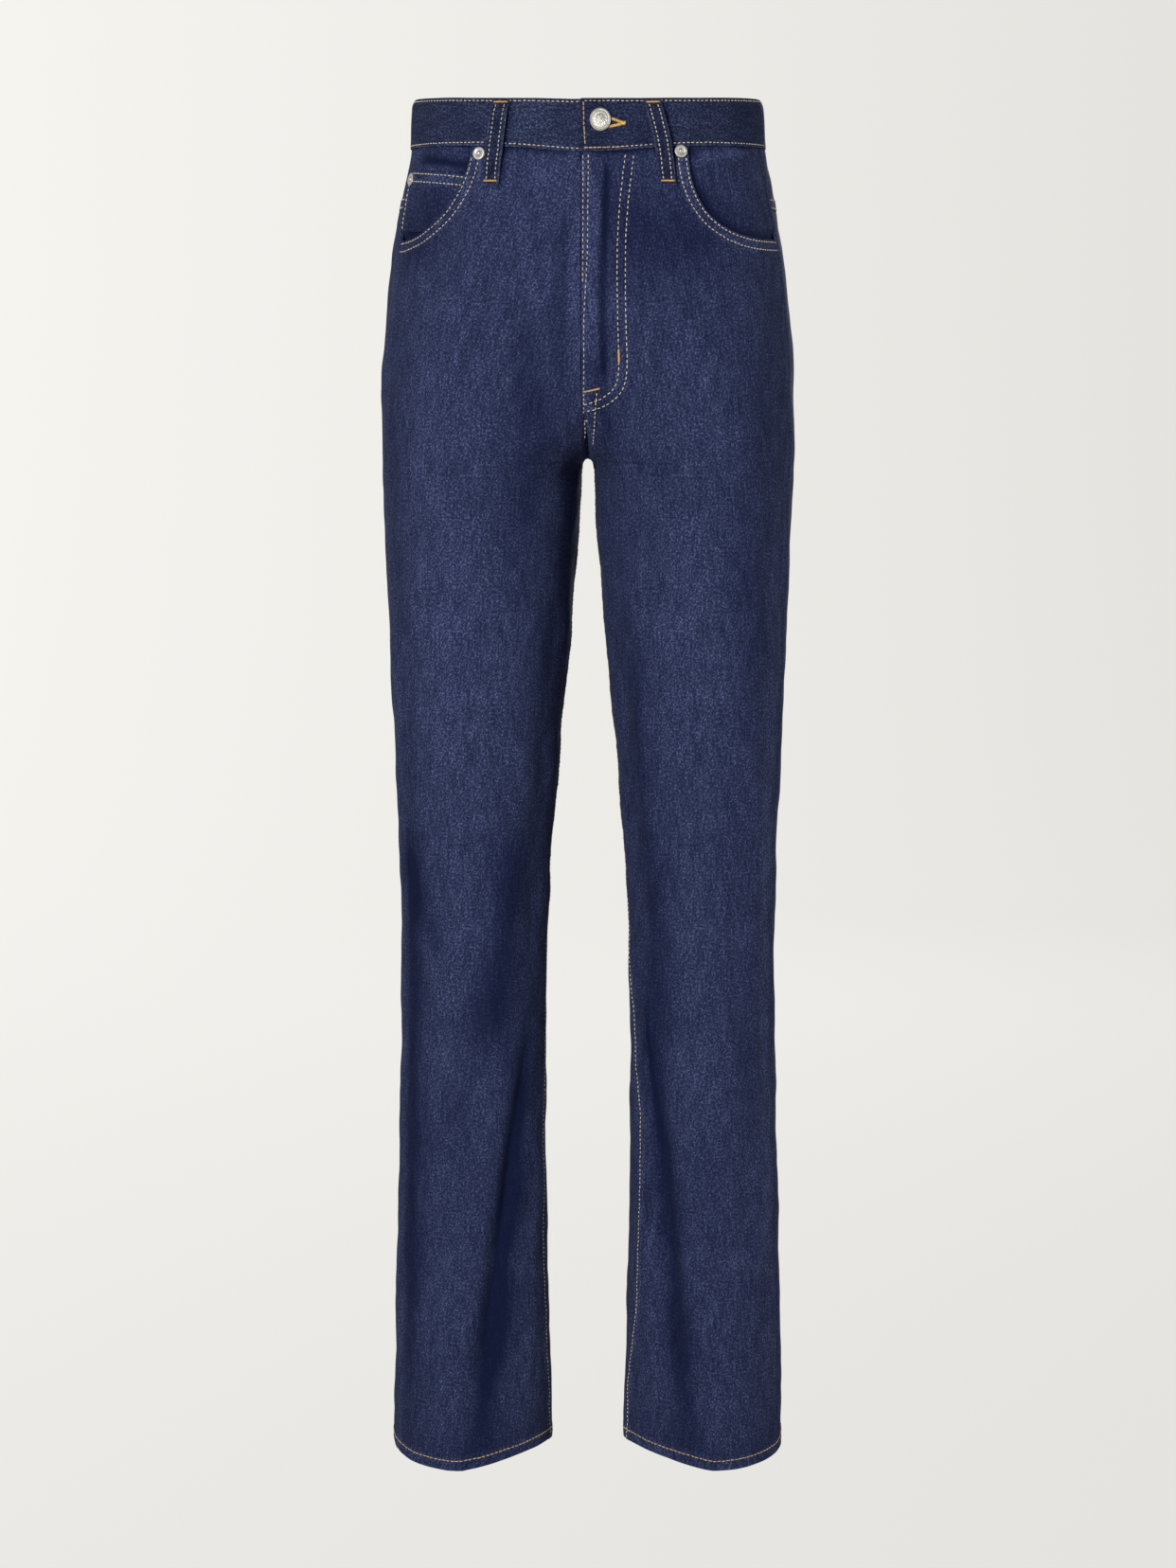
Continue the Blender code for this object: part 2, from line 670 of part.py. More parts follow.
def facing_lift(side, turn, drop):
    """Lift of the cloth that shows inside the pocket mouth: under the front's edge, level at the seam."""
    side_turn = np.full(np.shape(drop), OUTSEAM_TURN)
    side_x = side * bare_surface(side, side_turn, drop)[..., 0]
    x = side * bare_surface(side, turn, drop)[..., 0]
    power = POCKET_POWER[side]
    out = np.clip((side_x - x) / (side_x - POCKET_TOP_X[side]), 0, None)
    down = np.clip((drop - BAND_HEIGHT) / (POCKET_BOTTOM_DROP[side] - BAND_HEIGHT), 0, None)
    level = (out ** power + down ** power) ** (1 / power)
    under = FACING_EXTRA_DEPTH + LAYER * (2 if side == RIGHT else 1)
    risen = smooth((FACING_RISE_LEVEL - level) / POCKET_RISE_FRACTION)
    return -under + (under - FACING_SEAM_DEPTH) * risen


def facing_grid(side, start_drop, end_drop, counts, under, dip=0.0):
    """Turns and drops from under the front panel's edge, where the top may dip, out to the outseam."""
    rows, columns = counts
    down = np.linspace(0, 1, rows)[:, None]
    share = np.linspace(0, 1, columns)[None, :]
    drop = start_drop + (end_drop - start_drop) * down + dip * (1 - down) * (1 - share)
    mouth = np.minimum(drop, POCKET_BOTTOM_DROP[side] - 0.5 * MM)
    edge_in = turn_at_x(side, pocket_mouth_x(side, mouth) - under, drop)
    edge_out = OUTSEAM_TURN - seam_margin(side, np.full(drop.shape, OUTSEAM_TURN), drop)
    return edge_in + (edge_out - edge_in) * share, drop


def pocket_facing(side, denim):
    """Denim behind the pocket mouth."""
    top = BAND_HEIGHT + BAND_GAP
    end = POCKET_BOTTOM_DROP[side] + POCKET_UNDER
    turn, drop = facing_grid(side, top, end, FACING_GRID, POCKET_UNDER)
    lift = facing_lift(side, turn, drop)
    patch(f"pocket_facing_{SIDE_NAME[side]}", side, turn, drop, lift, CLOTH, denim)


def coin_pocket(denim):
    """Small pocket on the right facing, whose top edge shows in the mouth."""
    turn, drop = facing_grid(
        RIGHT, COIN_POCKET_DROP, COIN_POCKET_END_DROP,
        COIN_POCKET_GRID, COIN_POCKET_UNDER, COIN_POCKET_DIP,
    )
    lift = facing_lift(RIGHT, turn, drop) + LAYER
    patch("coin_pocket", RIGHT, turn, drop, lift, CLOTH, denim)


def waistband_path():
    """Position round the waist from the lapped end to the underlap, and its inward step."""
    lap = -turn_at_x(RIGHT, -BAND_LAP_X, BAND_HEIGHT)
    under = turn_at_x(LEFT, BAND_UNDERLAP_X, BAND_HEIGHT)
    step_start = turn_at_x(RIGHT, -BAND_STEP_START_X, BAND_HEIGHT)
    step_end = turn_at_x(RIGHT, -BAND_STEP_END_X, BAND_HEIGHT)
    path = np.linspace(lap, 2 + under, BAND_COLUMNS + 1)
    step = smooth((path - (2 - step_start)) / (step_start - step_end))
    return path, -BAND_STEP * step


def cloth_round(path, drop, lift):
    """Point of the cloth by its way round the whole waist: 0 centre front, 1 centre back, 2 front."""
    place = np.where(path > 1, path - 2, path)
    left = cloth_point(LEFT, np.abs(place), drop, lift)
    right = cloth_point(RIGHT, np.abs(place), drop, lift)
    return np.where((place >= 0)[..., None], left, right)


def waistband(denim):
    """Straight band round the waist, lapped at the front over its own end, with a hole for the button."""
    path, step = waistband_path()
    place = np.abs(np.where(path > 1, path - 2, path))
    top = band_top(place)
    bottom = np.where(place < 0.5, band_bottom(LEFT, place), BAND_HEIGHT)
    down = np.linspace(0, 1, BAND_ROWS + 1)[:, None]
    drop = top + (bottom - top) * down
    path = path[None, :] + 0 * down
    lift = BAND_LIFT + step[None, :] + 0 * down
    outer = cloth_round(path, drop, lift)
    inner = cloth_round(path, drop, lift - BAND_THICKNESS)
    band = closed_solid("waistband", outer, inner, denim)
    point, normal = button_seat()
    start = point - normal * (BAND_THICKNESS + 0.25 * MM)
    cutter = lathe("button_hole_cutter", start, normal, (
        (0.0, 0.0),
        (BUTTON_HOLE_RADIUS, 0.0),
        (BUTTON_HOLE_RADIUS, BAND_THICKNESS + 3 * MM),
        (0.0, BAND_THICKNESS + 3 * MM),
    ), HOLE_SEGMENTS, denim)
    cutter.hide_render = True
    cutter.display_type = "WIRE"
    cut = band.modifiers.new("button hole", "BOOLEAN")
    cut.operation = "DIFFERENCE"
    cut.object = cutter


def button_seat():
    """Middle of the button on the band's outer face, and the way it faces."""
    turn = turn_at_x(LEFT, BUTTON_X, BUTTON_DROP)
    point = cloth_point(LEFT, turn, BUTTON_DROP, BAND_LIFT)
    return point, surface_normal(LEFT, turn, BUTTON_DROP)


def lathe(name, base, axis, profile, segments, material):
    """A turned body: (radius, height) pairs round an axis from a base point, ends on the axis."""
    axis = np.asarray(axis, float)
    first = np.cross(axis, (0, 0, 1))
    first = first / np.linalg.norm(first)
    second = np.cross(axis, first)
    points = [base + axis * profile[0][1]]
    for radius, height in profile[1:-1]:
        for step in range(segments):
            angle = 2 * math.pi * step / segments
            spoke = first * math.cos(angle) + second * math.sin(angle)
            points.append(base + axis * height + spoke * radius)
    points.append(base + axis * profile[-1][1])
    rings = len(profile) - 2
    last = len(points) - 1
    faces = []
    for step in range(segments):
        after = (step + 1) % segments
        faces.append((0, 1 + after, 1 + step))
        for ring in range(rings - 1):
            low = 1 + ring * segments
            high = low + segments
            faces.append((low + step, low + after, high + after, high + step))
        low = 1 + (rings - 1) * segments
        faces.append((low + step, low + after, last))
    return add_body(name, np.array(points), faces, material)


def waist_button(metal):
    """Domed shank button: its shank goes through the lapped end to the band below."""
    point, normal = button_seat()
    shank_foot = -(BAND_STEP - SEAM_GAP)
    profile = [(BUTTON_RADIUS + edge * MM, up * MM) for edge, up in BUTTON_PROFILE]
    lathe("waist_button", point, normal, (
        (0.0, shank_foot),
        (BUTTON_SHANK_RADIUS, shank_foot),
        (BUTTON_SHANK_RADIUS, BUTTON_CLEARANCE),
        *profile,
        (0.0, BUTTON_HEIGHT),
    ), BUTTON_SEGMENTS, metal)


def rivet(name, point, normal, metal):
    """Round rivet cap with a raised nub."""
    profile = [(RIVET_RADIUS + edge * MM, up * MM) for edge, up in RIVET_PROFILE]
    lathe(f"rivet_{name}", point + normal * SEAM_GAP, normal, (
        (0.0, 0.0),
        *profile,
        (0.0, RIVET_HEIGHT),
    ), RIVET_SEGMENTS, metal)


def rivets(metal):
    """Caps at the top of each pocket mouth and on the coin pocket's outer corner."""
    for row in RIVETS:
        spot = dict(zip(RIVET_COLUMNS, row))
        drop = spot["drop"] * MM
        turn = turn_at_x(spot["side"], spot["x"] * MM, drop)
        normal = surface_normal(spot["side"], turn, drop)
        rivet(spot["name"], cloth_point(spot["side"], turn, drop, RIVET_LIFT), normal, metal)
    lift = facing_lift(RIGHT, np.array(COIN_RIVET_TURN), np.array(COIN_RIVET_DROP)) + LAYER
    point = cloth_point(RIGHT, COIN_RIVET_TURN, COIN_RIVET_DROP, lift)
    rivet("coin_pocket", point, surface_normal(RIGHT, COIN_RIVET_TURN, COIN_RIVET_DROP), metal)


def belt_loops(denim):
    """Strips that stand off the band far enough for a belt, tacked down at both ends."""
    down = np.linspace(0, 1, LOOP_ROWS)[:, None]
    for row in LOOPS:
        loop = dict(zip(LOOP_COLUMNS, row))
        top_turn = turn_at_x(LEFT, abs(loop["top_x"]) * MM, 0, loop["is_back"])
        top = LOOP_TOP_DROP + band_top(top_turn)
        drop = top + (LOOP_BOTTOM_DROP - top) * down + np.zeros((1, 3))
        across = np.array([-0.5, 0, 0.5])[None, :] * LOOP_WIDTH
        x = (loop["top_x"] + (loop["bottom_x"] - loop["top_x"]) * down) * MM + across
        ground = np.where(drop < BAND_HEIGHT + LOOP_FADE_START, BAND_LIFT, 0)
        ground = ground * (1 - smooth((drop - BAND_HEIGHT) / LOOP_FADE_END))
        arch = smooth(down / LOOP_TOP_RISE) * smooth((1 - down) / LOOP_BOTTOM_RISE)
        lift = ground + SEAM_GAP + LOOP_CLEARANCE * arch
        outer = loop_points(x, drop, lift + LOOP_THICKNESS, loop["is_back"])
        inner = loop_points(x, drop, lift, loop["is_back"])
        closed_solid(f"belt_loop_{loop['name']}", outer, inner, denim)


def loop_points(x, drop, lift, is_back):
    """Points over the front or back of the body at signed x."""
    left = cloth_point(LEFT, turn_at_x(LEFT, np.abs(x), drop, is_back), drop, lift)
    right = cloth_point(RIGHT, turn_at_x(RIGHT, np.abs(x), drop, is_back), drop, lift)
    return np.where((x >= 0)[..., None], left, right)


def fly_pieces(denim, cotton):
    """Facing behind the J stitching, the closed zip and the shield behind it."""
    heights = np.concatenate([
        np.linspace(FLY_TOP_DROP, FLY_CURVE_DROP, 7),
        sine_steps(FLY_CURVE_DROP, FLY_BOTTOM_DROP, 7)[:-1],
    ])
    fall = arc_fall((heights - FLY_CURVE_DROP) / (FLY_BOTTOM_DROP - FLY_CURVE_DROP), FLY_POWER)
    share = np.linspace(0, 1, 7)[None, :]
    edge_in = 1.0 * MM
    x = edge_in + (FLY_WIDTH * fall[:, None] - edge_in) * share
    drop = heights[:, None] + 0 * share
    fly_piece("fly_facing", x, drop, 1, denim)

    drop = np.linspace(*ZIP_DROPS, 8)[:, None] + 0 * share
    fly_piece("zip", ZIP_X + ZIP_HALF_WIDTH * (2 * share - 1) + 0 * drop, drop, 2, cotton)

    drop = np.linspace(*SHIELD_DROPS, 8)[:, None] + 0 * share
    low, high = SHIELD_X
    fly_piece("fly_shield", low + (high - low) * share + 0 * drop, drop, 3, denim)


def fly_piece(name, x, drop, depth, material):
    """A flat piece behind the front, so many layers in."""
    lift = -depth * LAYER
    outer = loop_points(x, drop, lift, False)
    inner = loop_points(x, drop, lift - CLOTH, False)
    closed_solid(name, outer, inner, material)


def back_pocket(side, denim):
    """Five-cornered patch on the seat."""
    row_count, column_count = BACK_POCKET_GRID
    share = np.linspace(0, 1, column_count)
    rows = []
    for down in np.linspace(0, 1, row_count):
        width = BACK_POCKET_TOP_WIDTH + (BACK_POCKET_LOW_WIDTH - BACK_POCKET_TOP_WIDTH) * down
        middle = BACK_POCKET_INSET + 0.5 * BACK_POCKET_TOP_WIDTH
        distance = middle + width * (share - 0.5)
        point = BACK_POCKET_POINT * (1 - np.abs(2 * share - 1))
        drop = BACK_POCKET_TOP_DROP + BACK_POCKET_SIDE_HEIGHT * down + point * down
        turn = [float(turn_from_back(side, far, low)) for far, low in zip(distance, drop)]
        rows.append((turn, drop))
    turn = np.array([row[0] for row in rows])
    drop = np.array([row[1] for row in rows])
    patch(f"back_pocket_{SIDE_NAME[side]}", side, turn, drop, LAYER, CLOTH, denim)


def hem(side, denim):
    """Turned-up hem inside the end of the leg."""
    turn = np.linspace(0, 1, HEM_COLUMNS + 1)[None, :-1]
    drop = np.array([HEM_DROP - HEM_DEPTH, HEM_DROP - 0.5 * HEM_DEPTH, HEM_DROP - HEM_EDGE])[:, None]
    lift = -LAYER + 0 * (turn + drop)
    patch(f"hem_{SIDE_NAME[side]}", side, turn + 0 * drop, drop + 0 * turn, lift, HEM_THICKNESS, denim, True)


def build():
    """Make every piece."""
    clear_scene()
    denim = principled("denim", (0.025, 0.032, 0.095), 0.85, 0.0)
    cotton = principled("zip_tape", (0.03, 0.035, 0.07), 0.8, 0.0)
    metal = principled("silver_metal", (0.75, 0.75, 0.74), 0.32, 1.0)
    for side in (LEFT, RIGHT):
        front_panel(side, denim)
        back_panel(side, denim)
        yoke(side, denim)
        pocket_facing(side, denim)
        back_pocket(side, denim)
        hem(side, denim)
    coin_pocket(denim)
    fly_pieces(denim, cotton)
    waistband(denim)
    belt_loops(denim)
    waist_button(metal)
    rivets(metal)


build()
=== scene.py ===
"""Looks of the straight leg jeans: raw denim with its weave, folds and seams, gold stitching, silver metal.

Metres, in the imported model's frame: origin in the middle of the waist opening, front to -Y, the wearer's
left to +X. A place on the garment is given by side (+1 the wearer's left, -1 the right), turn (0 centre
front or inseam, 0.25 front crest, 0.5 side, 0.75 back crest, 1 centre back or inseam) and drop (the height
below the waist).
"""

import math

import bpy
import numpy as np
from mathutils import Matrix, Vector
from mathutils.bvhtree import BVHTree


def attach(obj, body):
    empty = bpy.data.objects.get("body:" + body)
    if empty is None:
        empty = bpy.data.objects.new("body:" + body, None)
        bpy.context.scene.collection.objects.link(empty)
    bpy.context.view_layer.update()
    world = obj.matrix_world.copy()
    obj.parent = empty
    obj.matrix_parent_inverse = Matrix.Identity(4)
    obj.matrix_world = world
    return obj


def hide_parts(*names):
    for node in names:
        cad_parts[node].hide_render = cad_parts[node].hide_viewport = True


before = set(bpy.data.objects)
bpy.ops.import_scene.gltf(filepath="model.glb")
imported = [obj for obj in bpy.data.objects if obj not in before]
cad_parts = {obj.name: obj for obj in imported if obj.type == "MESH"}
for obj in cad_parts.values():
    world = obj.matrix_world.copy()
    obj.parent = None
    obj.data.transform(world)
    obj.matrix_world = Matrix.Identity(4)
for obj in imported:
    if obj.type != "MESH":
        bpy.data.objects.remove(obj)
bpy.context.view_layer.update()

MM = 0.001
LEFT = 1
RIGHT = -1
SIDES = (LEFT, RIGHT)
SIDE_NAME = {LEFT: "left", RIGHT: "right"}

# ---------------------------------------------------------------- sizes shared with the solids
CLOTH = 1.2 * MM
SEAM_GAP = 0.3 * MM
REST_GAP = 0.9 * MM
LAYER = CLOTH + REST_GAP

CROTCH_DROP = 270 * MM
CROTCH_ROUNDING = 5 * MM
HEM_DROP = 1061 * MM
HEM_TILT = math.tan(math.radians(4.2))
HEM_TILT_START = 800 * MM
HEM_INNER_RISE = 8.2 * MM
HEM_INNER_SKEW = 0.85
HEM_INNER_TURN = 0.25

RISE_START_FRONT = 178 * MM
RISE_START_BACK = 172 * MM
RISE_POWER = 2.2
CROTCH_Y = 8 * MM
EASE_SPAN = 40 * MM
EASE_REACH = 18 * MM
EASE_TURN = 0.13
EASE_SAMPLES = 7
CLEFT_START_FRONT = 180 * MM
CLEFT_START_BACK = 192 * MM
CLEFT_END = 264 * MM

BAND_HEIGHT = 38.4 * MM
BAND_CENTRE_DIP = 4.6 * MM
BAND_DIP_WIDTH = 55 * MM
BAND_TOP_DIP = 4.7 * MM
BAND_TOP_DIP_WIDTH = 128 * MM
BAND_TOP_DIP_END_TURN = 0.75
BAND_LIFT = 0.9 * MM
BAND_THICKNESS = 2.4 * MM
BAND_GAP = 0.5 * MM
BAND_LAP_X = -5.2 * MM
BAND_UNDERLAP_X = 30 * MM
BAND_STEP = BAND_THICKNESS + 0.5 * MM
BAND_STEP_START_X = -42 * MM
BAND_STEP_END_X = -9 * MM

OUTSEAM_TURN = 0.44
FLY_SHIFT = -4.9 * MM
FLY_SHIFT_TURN = 0.14
FLY_LAP_LIFT = 1.1 * MM
FLY_LAP_TURN = 0.16
FLY_DROP = 215 * MM
FLY_END_DROP = 258 * MM

YOKE_SIDE_DROP = 84 * MM
YOKE_CENTRE_DROP = 112 * MM

SECTION_COLUMNS = ("drop", "inner_x", "outer_x", "front_y", "side_y", "back_y", "inner_y", "crest_x")
SECTIONS = (
    (0, 0.0, 130.9, -81, 0, 80, 8, 40),
    (20, 0.0, 132.1, -84, 0, 84, 8, 41),
    (40, 0.0, 133.4, -87, 1, 89, 8, 43),
    (70, 0.0, 139.8, -93, 2, 100, 8, 47),
    (100, 0.0, 145.3, -98, 4, 110, 8, 53),
    (130, 0.0, 149.9, -102, 5, 117, 8, 59),
    (160, 0.0, 153.5, -105, 6, 121, 8, 65),
    (200, 0.0, 156.6, -107, 6, 121, 8, 71),
    (235, 0.0, 157.7, -105, 5, 115, 8, 75),
    (270, 3.6, 157.3, -101, 3, 105, 8, 77),
    (300, 5.8, 156.5, -96, 1, 95, 6, 80),
    (350, 9.1, 154.9, -89, 0, 86, 4, 82),
    (400, 13.0, 153.1, -83, -1, 79, 2, 83),
    (450, 17.7, 151.3, -77, -2, 73, 0, 85),
    (500, 22.3, 149.4, -72, -2, 68, 0, 86),
    (550, 26.6, 147.5, -68, -2, 64, 0, 87),
    (600, 30.0, 146.1, -65, -2, 62, 0, 88),
    (650, 31.9, 145.7, -64, -1, 62, 0, 89),
    (700, 32.7, 146.4, -62, 1, 64, 1, 90),
    (800, 33.0, 149.1, -57, 7, 71, 7, 91),
    (900, 32.0, 152.3, -51, 14, 80, 14, 93),
    (1000, 29.8, 155.3, -42, 24, 90, 24, 96),
    (1070, 28.7, 156.6, -36, 31, 98, 31, 99),
)
TWIST_COLUMNS = ("drop", "left", "right")
INSEAM_TWIST = (
    (270, 0.000, 0.000),
    (560, 0.000, 0.004),
    (640, 0.015, 0.012),
    (700, 0.042, 0.019),
    (760, 0.072, 0.030),
    (840, 0.083, 0.044),
    (900, 0.078, 0.045),
    (960, 0.063, 0.044),
    (1010, 0.045, 0.036),
    (1070, 0.038, 0.024),
)
LEG_GIRTH = 420 * MM

POCKET_TOP_X = {LEFT: 73.5 * MM, RIGHT: 85.5 * MM}
POCKET_POWER = {LEFT: 2.4, RIGHT: 1.7}
POCKET_BOTTOM_DROP = {LEFT: 106 * MM, RIGHT: 107 * MM}
POCKET_UNDER = 16 * MM
FACING_DEPTH = {LEFT: 3.2 * MM, RIGHT: 3.7 * MM}
FACING_SEAM_DEPTH = 0.2 * MM
FACING_RISE_LEVEL = 0.985
FACING_RISE_RUN = (0.12, 0.38)
COIN_POCKET_DROP = 55.4 * MM
COIN_POCKET_DIP = 4.5 * MM
COIN_POCKET_END_DROP = 100 * MM
COIN_POCKET_UNDER = 10 * MM
COIN_RIVET_DROP = 62 * MM
COIN_RIVET_TURN = 0.432

FLY_WIDTH = 31 * MM
FLY_TOP_DROP = 46 * MM
FLY_BOTTOM_DROP = 231 * MM
FLY_CURVE_DROP = 192 * MM
FLY_POWER = 2.4
ZIP_HALF_WIDTH = 11 * MM
ZIP_X = 12 * MM
ZIP_DROPS = (46 * MM, 178 * MM)
SHIELD_X = (-22 * MM, 26 * MM)
SHIELD_DROPS = (45 * MM, 182 * MM)

BACK_POCKET_INSET = 38 * MM
BACK_POCKET_TOP_WIDTH = 126 * MM
BACK_POCKET_LOW_WIDTH = 108 * MM
BACK_POCKET_TOP_DROP = 128 * MM
BACK_POCKET_SIDE_HEIGHT = 104 * MM
BACK_POCKET_POINT = 18 * MM

LOOP_WIDTH = 12 * MM
LOOP_THICKNESS = 1.8 * MM
LOOP_CLEARANCE = 3.4 * MM
LOOP_TOP_DROP = 1.4 * MM
LOOP_BOTTOM_DROP = 68 * MM
# Name, whether it is on the back, x of its top and bottom end and its bow in between, in millimetres
LOOP_COLUMNS = ("name", "is_back", "top_x", "bottom_x", "bow")
LOOPS = [dict(zip(LOOP_COLUMNS, row)) for row in (
    ("front_left", False, 46.6, 58.5, 1.2),
    ("front_right", False, -62.7, -71.2, 0.5),
    ("back_left", True, 78.0, 81.0, 0.4),
    ("back_right", True, -78.0, -81.0, -0.5),
    ("centre_back", True, 0.0, 0.0, 0.3),
)]

HEM_DEPTH = 11 * MM
HEM_THICKNESS = 1.6 * MM
HEM_EDGE = 0.6 * MM

BUTTON_X = 8.9 * MM
BUTTON_DROP = 20.6 * MM
BUTTON_NARROW = 0.9
BUTTON_RADIUS = 8.6 * MM
BUTTON_SHANK_RADIUS = 2.4 * MM
RIVET_RADIUS = 4.8 * MM
# Name, side, x from the middle and drop in millimetres
RIVETS = (
    ("front_left", LEFT, 67.4, 43.2),
    ("front_right", RIGHT, 79.2, 44.6),
)

# ---------------------------------------------------------------- folds
# The solids' soft folds: side, turn and drop of both ends, half width and height in millimetres
FOLDS = (
    (LEFT, 0.088, 630, 0.143, 880, 9, 2.0),
    (LEFT, 0.146, 800, 0.092, 950, 9, 1.8),
    (LEFT, 0.215, 660, 0.240, 1000, 20, 1.6),
    (LEFT, 0.160, 640, 0.180, 1000, 15, -1.6),
    (LEFT, 0.345, 700, 0.350, 1000, 14, -1.6),
    (RIGHT, 0.120, 730, 0.235, 1030, 12, -2.6),
    (RIGHT, 0.255, 560, 0.330, 760, 16, 1.8),
    (RIGHT, 0.140, 300, 0.290, 420, 20, -1.6),
    (LEFT, 0.130, 290, 0.260, 400, 20, -1.4),
    (RIGHT, 0.690, 560, 0.830, 640, 14, -2.6),
    (LEFT, 0.670, 575, 0.810, 650, 14, -2.4),
    (RIGHT, 0.680, 620, 0.820, 590, 12, 1.8),
    (LEFT, 0.700, 300, 0.860, 340, 16, -2.4),
    (RIGHT, 0.710, 310, 0.870, 345, 16, -2.2),
)

# Smaller creases, bent through a middle place: side, three places as turn and drop, half width, height
CREASES = (
    (LEFT, (0.30, 64), (0.34, 49), (0.43, 46), 4.5, 2.4),
    (LEFT, (0.31, 54), (0.36, 42), (0.43, 39), 3.0, -1.6),
    (LEFT, (0.31, 76), (0.36, 62), (0.42, 60), 5.0, -1.2),
    (LEFT, (0.33, 92), (0.37, 82), (0.42, 86), 8.0, 1.2),
    (RIGHT, (0.44, 42), (0.39, 49), (0.33, 56), 3.5, -1.6),
    (RIGHT, (0.43, 50), (0.38, 54), (0.34, 51), 3.0, 1.2),
    (RIGHT, (0.44, 78), (0.40, 86), (0.35, 84), 5.0, -1.2),
    (RIGHT, (0.072, 660), (0.160, 835), (0.255, 1090), 10.0, -6.2),
    (RIGHT, (0.190, 740), (0.230, 860), (0.300, 1035), 13.0, 2.4),
    (RIGHT, (0.060, 770), (0.096, 900), (0.130, 1060), 9.0, 2.2),
    (RIGHT, (0.105, 300), (0.088, 500), (0.105, 720), 17.0, -4.0),
    (RIGHT, (0.115, 330), (0.150, 370), (0.160, 430), 12.0, -0.9),
    (RIGHT, (0.300, 780), (0.330, 880), (0.335, 1010), 12.0, -2.0),
    (LEFT, (0.098, 680), (0.166, 865), (0.216, 1090), 9.0, -5.0),
    (LEFT, (0.170, 720), (0.222, 860), (0.262, 1040), 11.0, 2.2),
    (LEFT, (0.050, 760), (0.108, 900), (0.135, 1060), 8.0, 1.2),
    (LEFT, (0.355, 240), (0.368, 500), (0.376, 1000), 6.0, 0.8),
    (LEFT, (0.088, 290), (0.080, 500), (0.086, 720), 16.0, -3.4),
    (LEFT, (0.060, 300), (0.110, 345), (0.170, 372), 12.0, -0.9),
    (LEFT, (0.300, 560), (0.332, 660), (0.340, 790), 13.0, -1.8),
    (RIGHT, (0.620, 745), (0.680, 860), (0.705, 1010), 12.0, -2.8),
    (RIGHT, (0.680, 740), (0.740, 860), (0.765, 1000), 13.0, 2.0),
    (RIGHT, (0.880, 640), (0.840, 760), (0.850, 930), 10.0, -2.4),
    (LEFT, (0.640, 760), (0.690, 880), (0.720, 1015), 11.0, -2.6),
    (LEFT, (0.800, 650), (0.760, 800), (0.790, 960), 12.0, 2.0),
    (LEFT, (0.900, 620), (0.860, 730), (0.870, 880), 10.0, -2.2),
    (RIGHT, (0.560, 330), (0.620, 372), (0.700, 388), 9.0, -1.6),
    (LEFT, (0.560, 345), (0.640, 380), (0.730, 392), 10.0, -1.8),
)

